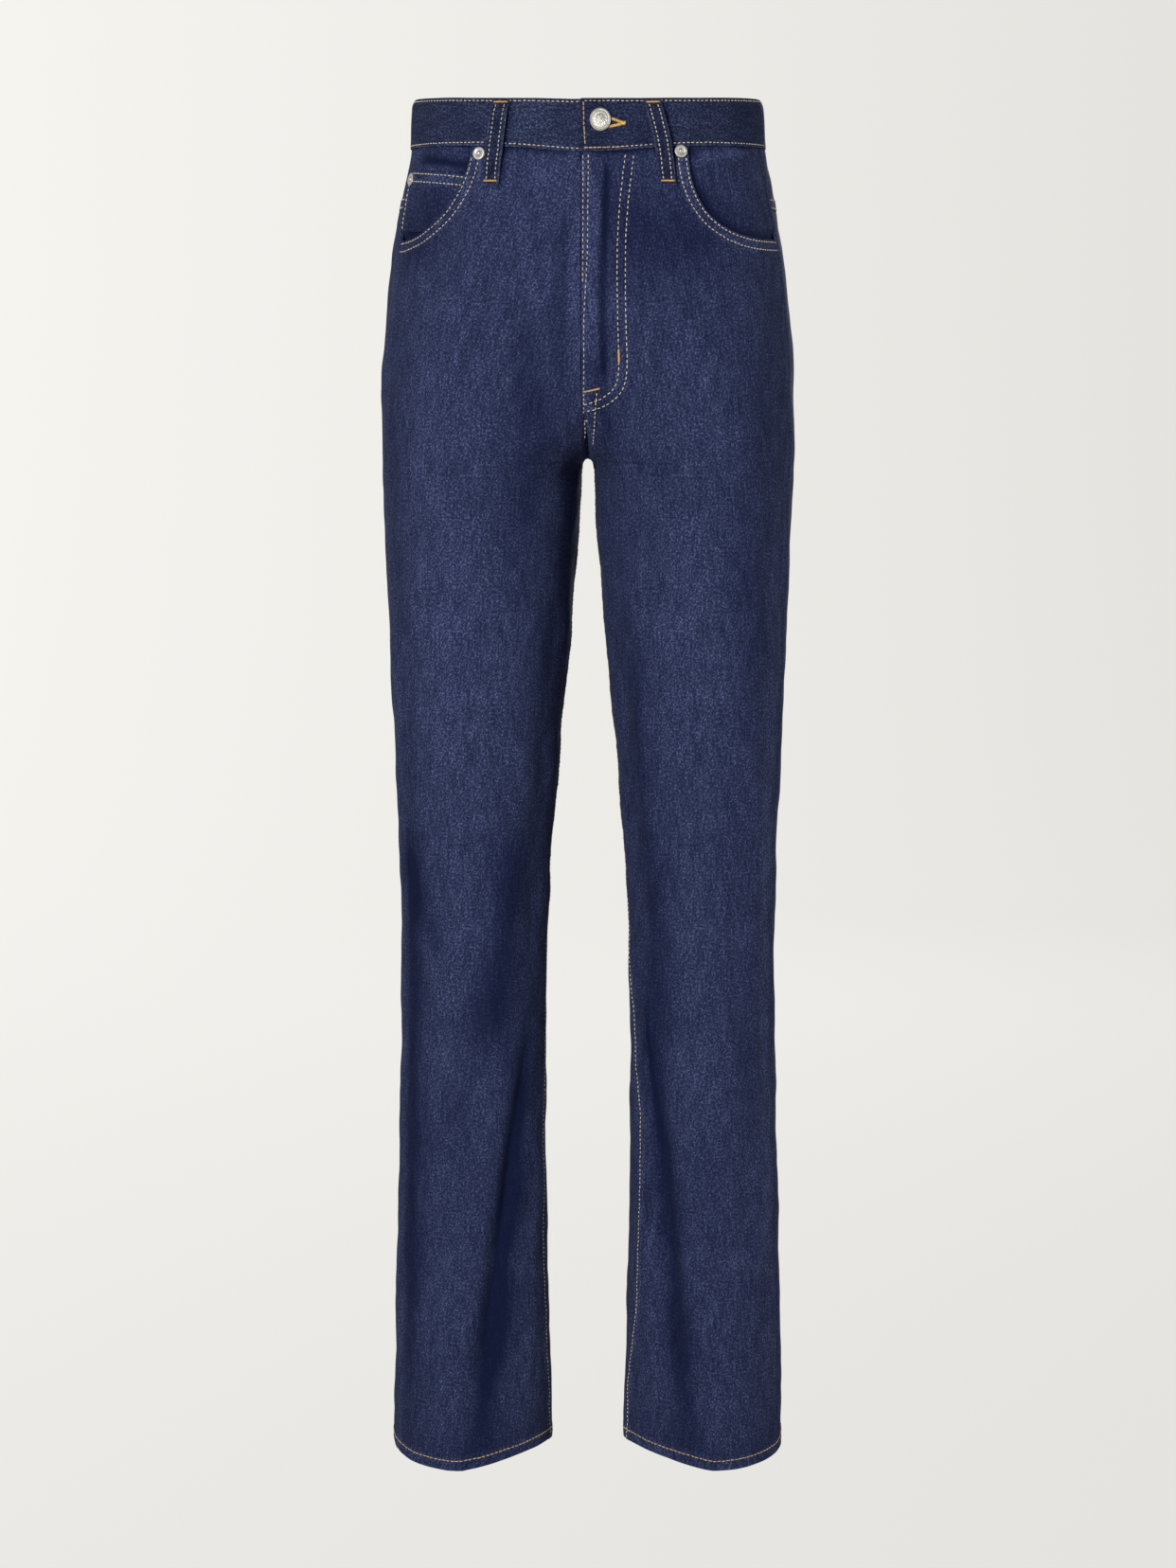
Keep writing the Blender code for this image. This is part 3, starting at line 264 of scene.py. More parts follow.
# Painted shade and painted highlight on the indigo, paler on lit crests and darker where the cloth lies deep
# in
# shade: side, three places as turn and drop, half width in millimetres, tone
PAINTED_SHADE_ROWS = (
    (RIGHT, (0.072, 650), (0.150, 830), (0.245, 1110), 14.0, -2.8),
    (RIGHT, (0.045, 770), (0.082, 900), (0.105, 1080), 9.0, 1.2),
    (RIGHT, (0.135, 520), (0.172, 630), (0.210, 750), 20.0, -1.9),
    (RIGHT, (0.210, 660), (0.260, 740), (0.310, 820), 15.0, -0.8),
    (RIGHT, (0.440, 545), (0.370, 610), (0.300, 650), 15.0, -1.3),
    (RIGHT, (0.330, 120), (0.320, 330), (0.300, 600), 24.0, 0.7),
    (RIGHT, (0.190, 140), (0.165, 230), (0.185, 360), 24.0, -1.3),
    (RIGHT, (0.130, 250), (0.120, 285), (0.095, 340), 9.0, 1.1),
    (RIGHT, (0.408, 440), (0.395, 800), (0.385, 1110), 14.0, -2.0),
    (RIGHT, (0.425, 140), (0.425, 290), (0.420, 440), 12.0, -0.8),
    (RIGHT, (0.330, 55), (0.380, 90), (0.420, 140), 16.0, -1.6),
    (RIGHT, (0.440, 45), (0.380, 49), (0.310, 53), 3.4, -1.8),
    (RIGHT, (0.440, 62), (0.400, 60), (0.350, 58), 2.4, -1.3),
    (RIGHT, (0.440, 53), (0.390, 54), (0.340, 55), 2.4, 0.9),
    (LEFT, (0.370, 130), (0.360, 310), (0.350, 540), 16.0, -0.7),
    (LEFT, (0.295, 56), (0.345, 45), (0.420, 43), 2.6, 1.9),
    (LEFT, (0.300, 47), (0.345, 38), (0.430, 38), 3.0, -1.2),
    (LEFT, (0.290, 60), (0.350, 90), (0.420, 98), 14.0, -0.5),
    (LEFT, (0.098, 667), (0.122, 740), (0.145, 825), 3.0, -1.0),
    (LEFT, (0.150, 825), (0.132, 868), (0.102, 915), 2.5, 1.3),
    (RIGHT, (0.060, 50), (0.065, 150), (0.050, 260), 15.0, -1.0),
    (LEFT, (0.098, 670), (0.166, 865), (0.216, 1110), 12.0, -2.0),
    (LEFT, (0.120, 520), (0.140, 640), (0.125, 780), 18.0, -1.5),
    (LEFT, (0.120, 370), (0.110, 480), (0.105, 600), 15.0, -1.0),
    (LEFT, (0.400, 200), (0.402, 500), (0.402, 1110), 8.0, 1.5),
    (LEFT, (0.365, 560), (0.355, 700), (0.365, 860), 8.0, -0.6),
    (LEFT, (0.030, 100), (0.190, 100), (0.380, 115), 44.0, -1.6),
    (LEFT, (0.000, 165), (0.060, 222), (0.150, 262), 14.0, -1.2),
    (LEFT, (0.240, 270), (0.225, 390), (0.215, 520), 20.0, 0.4),
    (RIGHT, (0.620, 745), (0.680, 860), (0.705, 1010), 13.0, -1.3),
    (RIGHT, (0.880, 640), (0.840, 760), (0.850, 930), 11.0, -1.1),
    (LEFT, (0.640, 760), (0.690, 880), (0.720, 1015), 12.0, -1.3),
    (LEFT, (0.900, 620), (0.860, 730), (0.870, 880), 11.0, -1.1),
    (RIGHT, (0.690, 560), (0.755, 592), (0.830, 640), 13.0, -1.2),
    (LEFT, (0.670, 575), (0.740, 608), (0.810, 650), 13.0, -1.1),
    (RIGHT, (0.680, 630), (0.745, 620), (0.820, 596), 10.0, 0.8),
    (RIGHT, (0.710, 310), (0.790, 322), (0.870, 345), 14.0, -1.3),
    (LEFT, (0.700, 300), (0.780, 315), (0.860, 340), 14.0, -1.3),
    (RIGHT, (0.760, 190), (0.750, 260), (0.760, 300), 30.0, 0.6),
    (LEFT, (0.760, 190), (0.750, 260), (0.760, 295), 30.0, 0.7),
    (RIGHT, (0.740, 400), (0.720, 640), (0.745, 900), 24.0, 0.5),
    (LEFT, (0.735, 400), (0.740, 660), (0.740, 920), 26.0, 0.6),
    (LEFT, (-0.100, 1056), (0.220, 1056), (0.600, 1056), 24.0, -0.8),
    (RIGHT, (-0.100, 1056), (0.220, 1056), (0.600, 1056), 24.0, -0.9),
)

# Faint unevenness of hanging cloth: height and wave length in millimetres, direction, phase
WAVES = (
    (0.35, 61, (0.4, 1.0, 0.7), 0.3),
    (0.30, 43, (-0.8, 0.5, 0.6), 1.9),
    (0.16, 27, (0.9, -0.3, 0.5), 4.2),
    (0.12, 19, (-0.5, -0.7, 0.9), 2.7),
    (0.06, 11, (1.0, 0.2, -0.4), 5.1),
)

# ---------------------------------------------------------------- sewing
STITCH_PITCH = 3.5 * MM
FLY_PITCH = 4.1 * MM
STITCH_SHARE = 0.6
THREAD_RADIUS = 0.36 * MM
FLY_THREAD_RADIUS = 0.29 * MM
EDGE_STITCH = 2.0 * MM
SECOND_STITCH = 8.0 * MM
INSEAM_STITCH = 2.2 * MM
HEM_STITCH = 8.4 * MM
BAND_STITCH = 2.2 * MM
BAND_BOTTOM_STITCH = 2.4 * MM
LOOP_STITCH = 3.0 * MM
LOOP_PITCH = 3.3 * MM
FLY_SHARE = 0.56
POCKET_HEM_ROWS = (2.2 * MM, 12.5 * MM)

# Chain stitches of the gold thread: pitch, share of the pitch that the stitch covers, thread radius
BAND_CHAIN = (3.3 * MM, 0.9, 0.42 * MM)
LAP_CHAIN = (3.6 * MM, 0.86, 0.4 * MM)
HEM_CHAIN = (3.6 * MM, 0.85, 0.38 * MM)

# One stitch: places along it and heights over the cloth in thread radii; the heights of a tack's thread
STITCH_SPOTS = np.array([0, 0.12, 0.38, 0.62, 0.88, 1.0])
STITCH_HEIGHTS = np.array([-1.5, -0.1, 0.6, 0.6, -0.1, -1.5])
TACK_HEIGHTS = np.array([-0.8, 1.0, 1.4, 1.0, -0.8])
STITCH_SHIFT = 0.035
STITCH_STRAY = 0.05 * MM
THREAD_SPREAD = (0.92, 1.08)
THREAD_PINCH = 0.45
TACK_SPREAD = (0.9, 1.05)
TACK_RADIUS = 0.3 * MM
TACK_DENSITY = 0.42 * MM
HOLE_DENSITY = 0.45 * MM
HOLE_ROW_WIDTH = 2.6 * MM
HOLE_TIP_WIDTH = 3.4 * MM
LOOP_TACK_WIDTH = 1.6 * MM
POCKET_TACK_WIDTH = 1.8 * MM
POCKET_TACK_LENGTH = 7 * MM
POCKET_TACK_STARTS = (0.5 * MM, 118 * MM)
GOLD_END_LOW = 0.155
GOLD_END_HIGH = 0.09
J_WIDTH = 6.0 * MM

# Lines on the front as x and drop in millimetres
J_INNER = (
    (27.4, 44), (25.6, 58), (23.4, 78), (21.6, 104), (21.3, 146), (22.3, 186),
    (22.1, 204), (19.6, 213), (14.0, 219), (6.9, 223.3), (-3.6, 226.3),
)
FLY_EDGE_LINE = ((0.2, 44.7), (-0.2, 90), (-0.8, 122), (-2.9, 162), (-3.1, 190), (-3.1, 216))
FLY_CREASE = ((13.6, 48), (13.4, 60), (12.2, 100), (11.0, 140), (11.2, 175), (12.6, 214))
FLY_RIDGE = ((7.0, 48), (7.0, 62), (6.4, 110), (5.6, 160), (6.4, 205))
SECOND_FLY_LINE = ((-3.6, 45.5), (-3.7, 78), (-3.8, 120), (-4.0, 138))
FLY_TACKS = (
    (((22.3, 186), (22.4, 190), (22.6, 195)), 1.7),
    (((-3.4, 216.6), (2, 215.6), (8.6, 214.2)), 1.5),
)
CROTCH_ROWS = (
    ((-3.0, 217), (-2.8, 234), (-2.4, 252)),
    ((6.6, 217), (5.8, 226), (5.0, 240), (3.8, 257)),
)
LAP_END_LINE = ((-3.4, 7.2), (-3.0, 20), (-2.2, 38.4))
HOLE_START_X = 15.5
HOLE_TIP = (26.2, 22.9)
HOLE_DROPS = (18.0, 26.2)

# ---------------------------------------------------------------- wear, painted shade and small placements
FULL_WEAR_RELIEF = 0.5 * MM
# Painted shade on the pocket facings: strength of the painted shadow along the mouth's edge, and an even
# darkening of the whole facing
FACING_SHADE = {LEFT: (1.9, 0.1), RIGHT: (1.2, 0.6)}
FACING_TUCK_TURN = 0.025
SEAT_GAP_SHARE = 0.35
EASE_LEAST_WEIGHT = 0.02
FLY_FACING_START_X = 1.0 * MM
COIN_SIDE_TURN = OUTSEAM_TURN - 0.007
RIVET_LIFT = 0.75 * MM

# ---------------------------------------------------------------- spacing of the meshes
FOLDED_EDGE_STEPS = np.array([0, 0.3, 0.7, 1.2, 1.9, 2.7, 3.7, 5.0, 6.2, 7.2, 8.0, 8.8, 9.8, 11.2]) * MM
HEM_END_STEPS = np.array([0, 0.3, 0.7, 1.2, 1.9, 2.7, 3.7, 5.0, 6.2, 7.4, 8.2, 8.9, 9.8, 11.2]) * MM
LOOP_HALF_STEPS = np.array([1.2, 2.4, 3.4, 4.2, 4.9, 5.4, 5.8, 6.0]) * MM
ROUNDING_SHARES = np.array([0.04, 0.15, 0.35, 0.65, 1.0])
BAND_TURN_PER_METRE = 5.0
FRONT_WIDTH = 205 * MM
BACK_WIDTH = 235 * MM
YOKE_WIDTH = 185 * MM
YOKE_HEIGHT = 60 * MM
FACING_WIDTH = 90 * MM
COIN_WIDTH = 75 * MM
COIN_HEIGHT = 45 * MM
BAND_MESH_HEIGHT = 40 * MM
BACK_POCKET_MESH_WIDTH = 118 * MM
BACK_POCKET_MESH_HEIGHT = 108 * MM
SEWN_SIDE = 12 * MM
PLAIN_SIDE = 9 * MM
HIDDEN_SIDE = 2 * MM
THREAD_SIDES = 6
SETTLE_REACH = 9 * MM
BATCH_SIZE = 1500000


# ---------------------------------------------------------------- form
def matched(*values):
    """Values as number arrays of one shape."""
    return np.broadcast_arrays(*(np.asarray(value, float) for value in values))


def bell(distance, width, power=2):
    """1 at no distance, falling softly to 0 on both sides."""
    return np.exp(-(distance / width) ** power)


def travel(points):
    """Distance travelled along a path at each of its points."""
    return np.concatenate([[0], np.cumsum(np.linalg.norm(np.diff(points, axis=0), axis=1))])


def natural_spline(knots, values):
    """A smooth curve through the table's values."""
    knots, values = matched(knots, values)
    steps = np.diff(knots)
    beside = np.diag(steps[1:-1], 1)
    bends = np.zeros(len(knots))
    system = np.diag(2 * (steps[:-1] + steps[1:])) + beside + beside.T
    bends[1:-1] = np.linalg.solve(system, 6 * np.diff(np.diff(values) / steps))

    def curve(where):
        """Value of the spline, held level past its ends."""
        where = np.clip(np.asarray(where, float), knots[0], knots[-1])
        spot = np.clip(np.searchsorted(knots, where) - 1, 0, len(knots) - 2)
        low = where - knots[spot]
        high = knots[spot + 1] - where
        width = steps[spot]
        cubic = (bends[spot] * high ** 3 + bends[spot + 1] * low ** 3) / (6 * width)
        line_low = (values[spot] / width - bends[spot] * width / 6) * high
        line_high = (values[spot + 1] / width - bends[spot + 1] * width / 6) * low
        return cubic + line_low + line_high

    return curve


def table_curves(columns, rows, scale):
    """A spline for each named column of a table whose first column is the drop in millimetres."""
    drops, *values = np.array(rows, float).T
    return {name: natural_spline(drops * MM, value * scale) for name, value in zip(columns[1:], values)}


SECTION = table_curves(SECTION_COLUMNS, SECTIONS, MM)
TWIST = table_curves(TWIST_COLUMNS, INSEAM_TWIST, 1)


def smooth(value):
    """0 to 1 with level ends."""
    value = np.clip(value, 0, 1)
    return value * value * (3 - 2 * value)


def arc_fall(value, power):
    """1 to 0 along a rounded quarter, as value goes from 0 to 1."""
    return (1 - np.clip(value, 0, 1) ** power) ** (1 / power)


def inseam_turn(side, drop):
    """Turn of the inseam: 0 unless the leg twists."""
    return np.maximum(TWIST[SIDE_NAME[side]](drop), 0)


def near_hem(drop):
    """0 above the lower leg to 1 at the hem."""
    return smooth((drop - HEM_TILT_START) / (HEM_DROP - HEM_TILT_START))


def above_fly_end(drop):
    """1 beside the fly to 0 at its end."""
    return smooth((FLY_END_DROP - drop) / (FLY_END_DROP - FLY_DROP))


def hem_rise(turn, drop):
    """How much the hem rises between the inseam and the front crest."""
    share = np.clip(np.mod(turn, 1 + 1e-12) / HEM_INNER_TURN, 0, 1)
    return HEM_INNER_RISE * near_hem(drop) * np.sin(math.pi * share ** HEM_INNER_SKEW)


def bare_surface(side, turn, drop):
    """Outer face of the cloth without folds, eased where the body runs into the leg away from the inseam."""
    turn, drop = matched(turn, drop)
    points = cut_surface(side, turn, drop)
    near = np.abs(drop - CROTCH_DROP) < EASE_SPAN
    if not near.any():
        return points
    turn, drop = turn[near], drop[near]
    from_inseam = smooth(np.minimum(np.abs(turn), np.abs(1 - turn)) / EASE_TURN)
    spread = EASE_REACH * from_inseam * smooth(2 - 2 * np.abs(drop - CROTCH_DROP) / EASE_SPAN)
    shares = np.linspace(-1, 1, EASE_SAMPLES)
    weights = np.cos(0.5 * math.pi * shares) ** 2 + EASE_LEAST_WEIGHT
    eased = sum(
        weight * cut_surface(side, turn, drop + share * spread) for share, weight in zip(shares, weights)
    )
    points[near] = eased / weights.sum()
    return points


def cut_surface(side, turn, drop):
    """Outer face of the cloth as its sections give it."""
    row = {name: curve(drop) for name, curve in SECTION.items()}
    angle = 2 * math.pi * np.mod(turn, 1 + 1e-12)
    across = np.cos(angle)
    along = np.abs(np.sin(angle))
    is_front = angle <= math.pi
    in_leg = drop >= CROTCH_DROP
    cleft_start = np.where(is_front, CLEFT_START_FRONT, CLEFT_START_BACK)
    cleft = smooth((drop - cleft_start) / (CLEFT_END - cleft_start))

    crest_x = row["crest_x"]
    crest_y = np.where(is_front, row["front_y"], row["back_y"])
    rise_start = np.where(is_front, RISE_START_FRONT, RISE_START_BACK)
    fall = arc_fall((drop - rise_start) / (CROTCH_DROP - rise_start), RISE_POWER)
    inner_y = np.where(in_leg, row["inner_y"], CROTCH_Y + (crest_y - CROTCH_Y) * fall)
    rounding = arc_fall(1 - (drop - CROTCH_DROP) / CROTCH_ROUNDING, 2)
    inner_x = np.where(in_leg, row["inner_x"] * rounding, 0) + 0.5 * SEAM_GAP * cleft

    reach = np.where(is_front, angle, 2 * math.pi - angle) / (0.5 * math.pi)
    body_x = crest_x * reach
    leg_x = inner_x + (crest_x - inner_x) * (1 - across)
    body_y = inner_y + (crest_y - inner_y) * along ** 2
    leg_y = inner_y + (crest_y - inner_y) * along
    inner_part_x = (1 - cleft) * body_x + cleft * leg_x
    inner_part_y = (1 - cleft) * body_y + cleft * leg_y
    outer_part_x = crest_x + (row["outer_x"] - crest_x) * -across
    outer_part_y = row["side_y"] + (crest_y - row["side_y"]) * along
    x = np.where(across >= 0, inner_part_x, outer_part_x)
    y = np.where(across >= 0, inner_part_y, outer_part_y)

    shift = FLY_SHIFT * above_fly_end(drop) * smooth(1 - turn / FLY_SHIFT_TURN)
    z = -drop + HEM_TILT * near_hem(drop) * (y - row["side_y"]) + hem_rise(turn, drop)
    return np.stack([side * x + shift, y, z], axis=-1)


def surface_normal(side, turn, drop):
    """Outward direction of the cloth."""
    step_turn = 0.001
    step_drop = 0.5 * MM
    turn, drop = matched(turn, drop)
    low_turn = np.where(drop < CROTCH_DROP, np.maximum(turn - step_turn, 0), turn - step_turn)
    high_turn = np.where(drop < CROTCH_DROP, np.minimum(turn + step_turn, 1), turn + step_turn)
    around = bare_surface(side, high_turn, drop) - bare_surface(side, low_turn, drop)
    down = bare_surface(side, turn, drop + step_drop) - bare_surface(side, turn, drop - step_drop)
    normal = np.cross(down, around) * side
    return normal / np.linalg.norm(normal, axis=-1, keepdims=True)


def fold_lift(side, turn, drop):
    """Height of the soft folds and the smaller creases at a place on the cloth."""
    turn, drop = matched(turn, drop)
    lift = bent_rows(CREASES, side, turn, drop) * MM
    for row_side, turn_a, drop_a, turn_b, drop_b, half_width, height in FOLDS:
        if row_side != side:
            continue
        start = np.array([turn_a * LEG_GIRTH, drop_a * MM])
        run = np.array([turn_b * LEG_GIRTH, drop_b * MM]) - start
        offset_u = turn * LEG_GIRTH - start[0]
        offset_v = drop - start[1]
        along = (offset_u * run[0] + offset_v * run[1]) / (run @ run)
        away = (offset_u * run[1] - offset_v * run[0]) / np.linalg.norm(run)
        lift = lift + height * MM * bell(away, half_width * MM) * smooth(1.0 - np.abs(2 * along - 1))
    return lift


def bent_rows(rows, side, turn, drop):
    """Sum of a value that is spread along bent lines which fade at both ends."""
    turn, drop = matched(turn, drop)
    place = np.stack([turn * LEG_GIRTH, drop], axis=-1)
    total = np.zeros(turn.shape)
    share = np.linspace(0, 1, 21)[:, None]
    for row_side, *spots, half_width, value in rows:
        if row_side != side:
            continue
        start, middle, end = (np.array(spot) * (LEG_GIRTH, MM) for spot in spots)
        bend = 2 * middle - 0.5 * (start + end)
        line = (1 - share) ** 2 * start + 2 * share * (1 - share) * bend + share ** 2 * end
        away, along = distance_to(place, line, 2.6 * half_width * MM)
        length = travel(line)[-1]
        fade = smooth(3.2 * along / length) * smooth(3.2 * (1 - along / length))
        uneven = 1 + 0.2 * np.sin(along / (17 * MM) + spots[0][1])
        total = total + value * bell(away, half_width * MM * uneven) * fade
    return total


def distance_to(points, path, reach):
    """Distance from each point to a path and how far along the path it is, infinite beyond the reach."""
    flat = points.reshape(-1, points.shape[-1])
    inside = (flat > path.min(axis=0) - reach) & (flat < path.max(axis=0) + reach)
    near = np.flatnonzero(inside.all(axis=1))
    away = np.full(len(flat), np.inf)
    along = np.zeros(len(flat))
    runs = np.diff(path, axis=0)
    squares = (runs ** 2).sum(axis=1)
    travelled = travel(path)
    batches = len(near) * len(runs) // BATCH_SIZE + 1
    for batch in np.array_split(near, batches):
        offset = flat[batch][:, None] - path[:-1][None]
        share = np.clip((offset * runs).sum(axis=-1) / squares, 0, 1)
        gap = ((offset - share[..., None] * runs) ** 2).sum(axis=-1)
        best = gap.argmin(axis=1)
        picked = np.arange(len(batch))
        away[batch] = np.sqrt(gap[picked, best])
        along[batch] = travelled[best] + share[picked, best] * np.sqrt(squares[best])
    away[away > reach] = np.inf
    return away.reshape(points.shape[:-1]), along.reshape(points.shape[:-1])


def wobble(points):
    """Height of the faint unevenness."""
    lift = np.zeros(points.shape[:-1])
    for height, length, direction, phase in WAVES:
        along = points @ (np.array(direction) / np.linalg.norm(direction))
        sway = 0.35 * np.sin(points[..., 2] * 2 * math.pi / (3.1 * length * MM) + 2 * phase)
        lift += height * MM * np.sin(2 * math.pi * along / (length * MM) + phase + sway)
    return lift


def seam_margin(side, turn, drop):
    """Half a seam gap, as a change of turn."""
    step = 0.002
    ahead = bare_surface(side, np.asarray(turn) + step, drop)
    run = np.linalg.norm(ahead - bare_surface(side, turn, drop), axis=-1)
    return 0.5 * SEAM_GAP * step / run


def turn_at_x(side, x, drop, is_back=False):
    """Turn on the front (or back) of one side whose bare surface lies at this x from the middle."""
    x, drop = matched(x, drop)
    low = np.zeros(x.shape)
    high = np.full(x.shape, 0.5)
    for _ in range(30):
        middle = 0.5 * (low + high)
        turn = 1 - middle if is_back else middle
        reached = side * bare_surface(side, turn, drop)[..., 0]
        low = np.where(reached < x, middle, low)
        high = np.where(reached < x, high, middle)
    return 1 - high if is_back else high


def turn_from_back(side, distance, drop):
    """Turn at a distance along the cloth from the centre back seam, for one drop."""
    turns = np.linspace(1, 0.4, 121)
    return np.interp(distance, travel(bare_surface(side, turns, drop)), turns)


def band_bottom(side, turn):
    """Drop of the waistband's lower edge, a little lower at the centre front."""
    x = bare_surface(side, turn, BAND_HEIGHT)[..., 0]
    return BAND_HEIGHT + np.where(np.asarray(turn) < 0.5, BAND_CENTRE_DIP * bell(x, BAND_DIP_WIDTH), 0)


def band_top(turn):
    """Drop of the waistband's upper edge: it dips across the front and fades out on the back."""
    x = bare_surface(LEFT, turn, 0)[..., 0]
    fade = 1 - smooth((np.asarray(turn) - 0.5) / (BAND_TOP_DIP_END_TURN - 0.5))
    return BAND_TOP_DIP * bell(x, BAND_TOP_DIP_WIDTH, 4) * fade


def yoke_bottom(side, turn):
    """Drop of the seam under the yoke, lower at the centre back."""
    share = smooth((np.asarray(turn) - OUTSEAM_TURN) / (1 - OUTSEAM_TURN))
    return YOKE_SIDE_DROP + (YOKE_CENTRE_DROP - YOKE_SIDE_DROP) * share


def pocket_mouth_x(side, drop):
    """How far out the edge of the pocket mouth lies at a drop."""
    bottom_drop = POCKET_BOTTOM_DROP[side]
    side_x = side * bare_surface(side, OUTSEAM_TURN, np.full(np.shape(drop), bottom_drop))[..., 0]
    fall = arc_fall((drop - BAND_HEIGHT) / (bottom_drop - BAND_HEIGHT), POCKET_POWER[side])
    return side_x - (side_x - POCKET_TOP_X[side]) * fall


def pocket_mouth_turn(side, drop):
    """Turn of the mouth's edge, the outseam below the pocket."""
    inside = turn_at_x(side, pocket_mouth_x(side, drop), drop)
    return np.where(drop >= POCKET_BOTTOM_DROP[side], OUTSEAM_TURN, np.minimum(inside, OUTSEAM_TURN))


def facing_lift(side, turn, drop):
    """Lift of the cloth that shows inside the pocket mouth: under the front's edge, level at the seam."""
    side_turn = np.full(np.shape(drop), OUTSEAM_TURN)
    side_x = side * bare_surface(side, side_turn, drop)[..., 0]
    x = side * bare_surface(side, turn, drop)[..., 0]
    power = POCKET_POWER[side]
    under = FACING_DEPTH[side]
    out = np.clip((side_x - x) / (side_x - POCKET_TOP_X[side]), 0, None)
    down = np.clip((drop - BAND_HEIGHT) / (POCKET_BOTTOM_DROP[side] - BAND_HEIGHT), 0, None)
    level = (out ** power + down ** power) ** (1 / power)
    run = FACING_RISE_RUN[0] + (FACING_RISE_RUN[1] - FACING_RISE_RUN[0]) * smooth(out / 0.6)
    return -under + (under - FACING_SEAM_DEPTH) * smooth((FACING_RISE_LEVEL - level) / run)


# ---------------------------------------------------------------- lines on the cloth
class Line:
    """Points and outward directions along a line on the cloth."""

    def __init__(self, points, normals):
        self.points = points
        self.normals = normals
        self.travelled = travel(points)

    def at(self, where):
        """Points and outward directions at distances along it."""
        return [
            np.stack([np.interp(where, self.travelled, values[:, axis]) for axis in range(3)], axis=1)
            for values in (self.points, self.normals)
        ]

    def offset(self, distance):
        """The same line moved sideways over the cloth, to the right of its direction seen from outside."""
        sideways = np.cross(np.gradient(self.points, axis=0), self.normals)
        sideways = sideways / np.linalg.norm(sideways, axis=1, keepdims=True)
        return Line(self.points + sideways * distance, self.normals)

    def part(self, start, end):
        """The stretch between two distances along it; a negative end counts from the far end."""
        end = self.travelled[-1] + end if end <= 0 else end
        return Line(*self.at(np.linspace(start, end, max(3, int((end - start) / MM)))))


def surface_line(side, turn, drop):
    """Line through places of one side."""
    turn, drop = matched(turn, drop)
    return Line(bare_surface(side, turn, drop), surface_normal(side, turn, drop))


def x_line(x, drop, is_back=False):
    """Line over the front or back of the body at signed x."""
    x, drop = matched(x, drop)
    left, right = (surface_line(side, turn_at_x(side, side * x, drop, is_back), drop) for side in SIDES)
    is_left = (x >= (0 if is_back else FLY_SHIFT * above_fly_end(drop)))[:, None]
    return Line(np.where(is_left, left.points, right.points), np.where(is_left, left.normals, right.normals))


def front_line(spots, steps=60):
    """Smooth line on the front through spots of x and drop, both in millimetres."""
    spots = np.array(spots, float) * MM
    travelled = travel(spots)
    where = np.linspace(0, travelled[-1], steps)
    return x_line(*(natural_spline(travelled, values)(where) for values in spots.T))


def mouth_line(side):
    """Edge of the pocket mouth from the waistband to the outseam."""
    angle = 0.5 * math.pi * (1 - (1 - np.linspace(0, 1, 90)) ** 1.5)
    drop = BAND_HEIGHT + (POCKET_BOTTOM_DROP[side] - BAND_HEIGHT) * np.sin(angle)
    return surface_line(side, pocket_mouth_turn(side, drop), drop)


def outseam_line(side, start_drop):
    """Side seam down to the hem."""
    drop = np.linspace(start_drop, HEM_DROP, 260)
    return surface_line(side, OUTSEAM_TURN, drop)


def inseam_line(side):
    """Inner leg seam from the crotch to the hem."""
    drop = np.linspace(CROTCH_DROP + CROTCH_ROUNDING, HEM_DROP, 260)
    return surface_line(side, inseam_turn(side, drop), drop)


def rise_line(turn, start_drop, split_drop):
    """Centre seam from the waistband to the crotch, its points crowding together towards the crotch."""
    return surface_line(LEFT, turn, np.concatenate([
        np.linspace(start_drop, split_drop, 70),
        CROTCH_DROP - (CROTCH_DROP - split_drop) * (1 - np.linspace(0, 1, 50)[1:]) ** 2,
    ]))


def centre_front_line():
    """The fly's lapped edge and the front rise below it."""
    return rise_line(0, BAND_HEIGHT + BAND_CENTRE_DIP, 230 * MM)


def centre_back_line():
    """Centre back seam."""
    return rise_line(1 - 1e-9, BAND_HEIGHT, 225 * MM)


def yoke_line(side):
    """Seam under the yoke, from the side to the centre back."""
    turn = np.linspace(OUTSEAM_TURN, 1 - 1e-9, 100)
    return surface_line(side, turn, yoke_bottom(side, turn))


def hem_line(side):
    """End of the leg, all the way round."""
    return surface_line(side, np.linspace(0, 1, 181), HEM_DROP)


# ---------------------------------------------------------------- low relief of seams
def wave(along, seed, length=9.0):
    """Irregular ripple from -1 to 1 along a seam."""
    cycles = along / (length * MM)
    first = np.sin(2 * math.pi * cycles + seed)
    second = np.sin(2 * math.pi * cycles * 0.61 + 2.3 * seed + 1)
    third = np.sin(2 * math.pi * cycles * 1.83 + 0.7 * seed + 2)
    return 0.5 * first + 0.32 * second + 0.18 * third


def rounded(away, radius=0.8 * MM):
    """Drop of a folded edge towards its rim."""
    inside = np.clip(away / radius, 0, 1)
    return -0.75 * radius * (1 - np.sqrt(1 - (1 - inside) ** 2))


def groove(away, centre, depth=0.28 * MM, half_width=0.75 * MM):
    """Dent that a row of stitches pulls into the cloth."""
    return -depth * bell(away - centre, half_width)


def allowance(away, width, height=0.5 * MM, soft=1.6 * MM):
    """Extra thickness of the cloth folded under beside a seam or edge."""
    return height * smooth((width + soft - away) / soft)


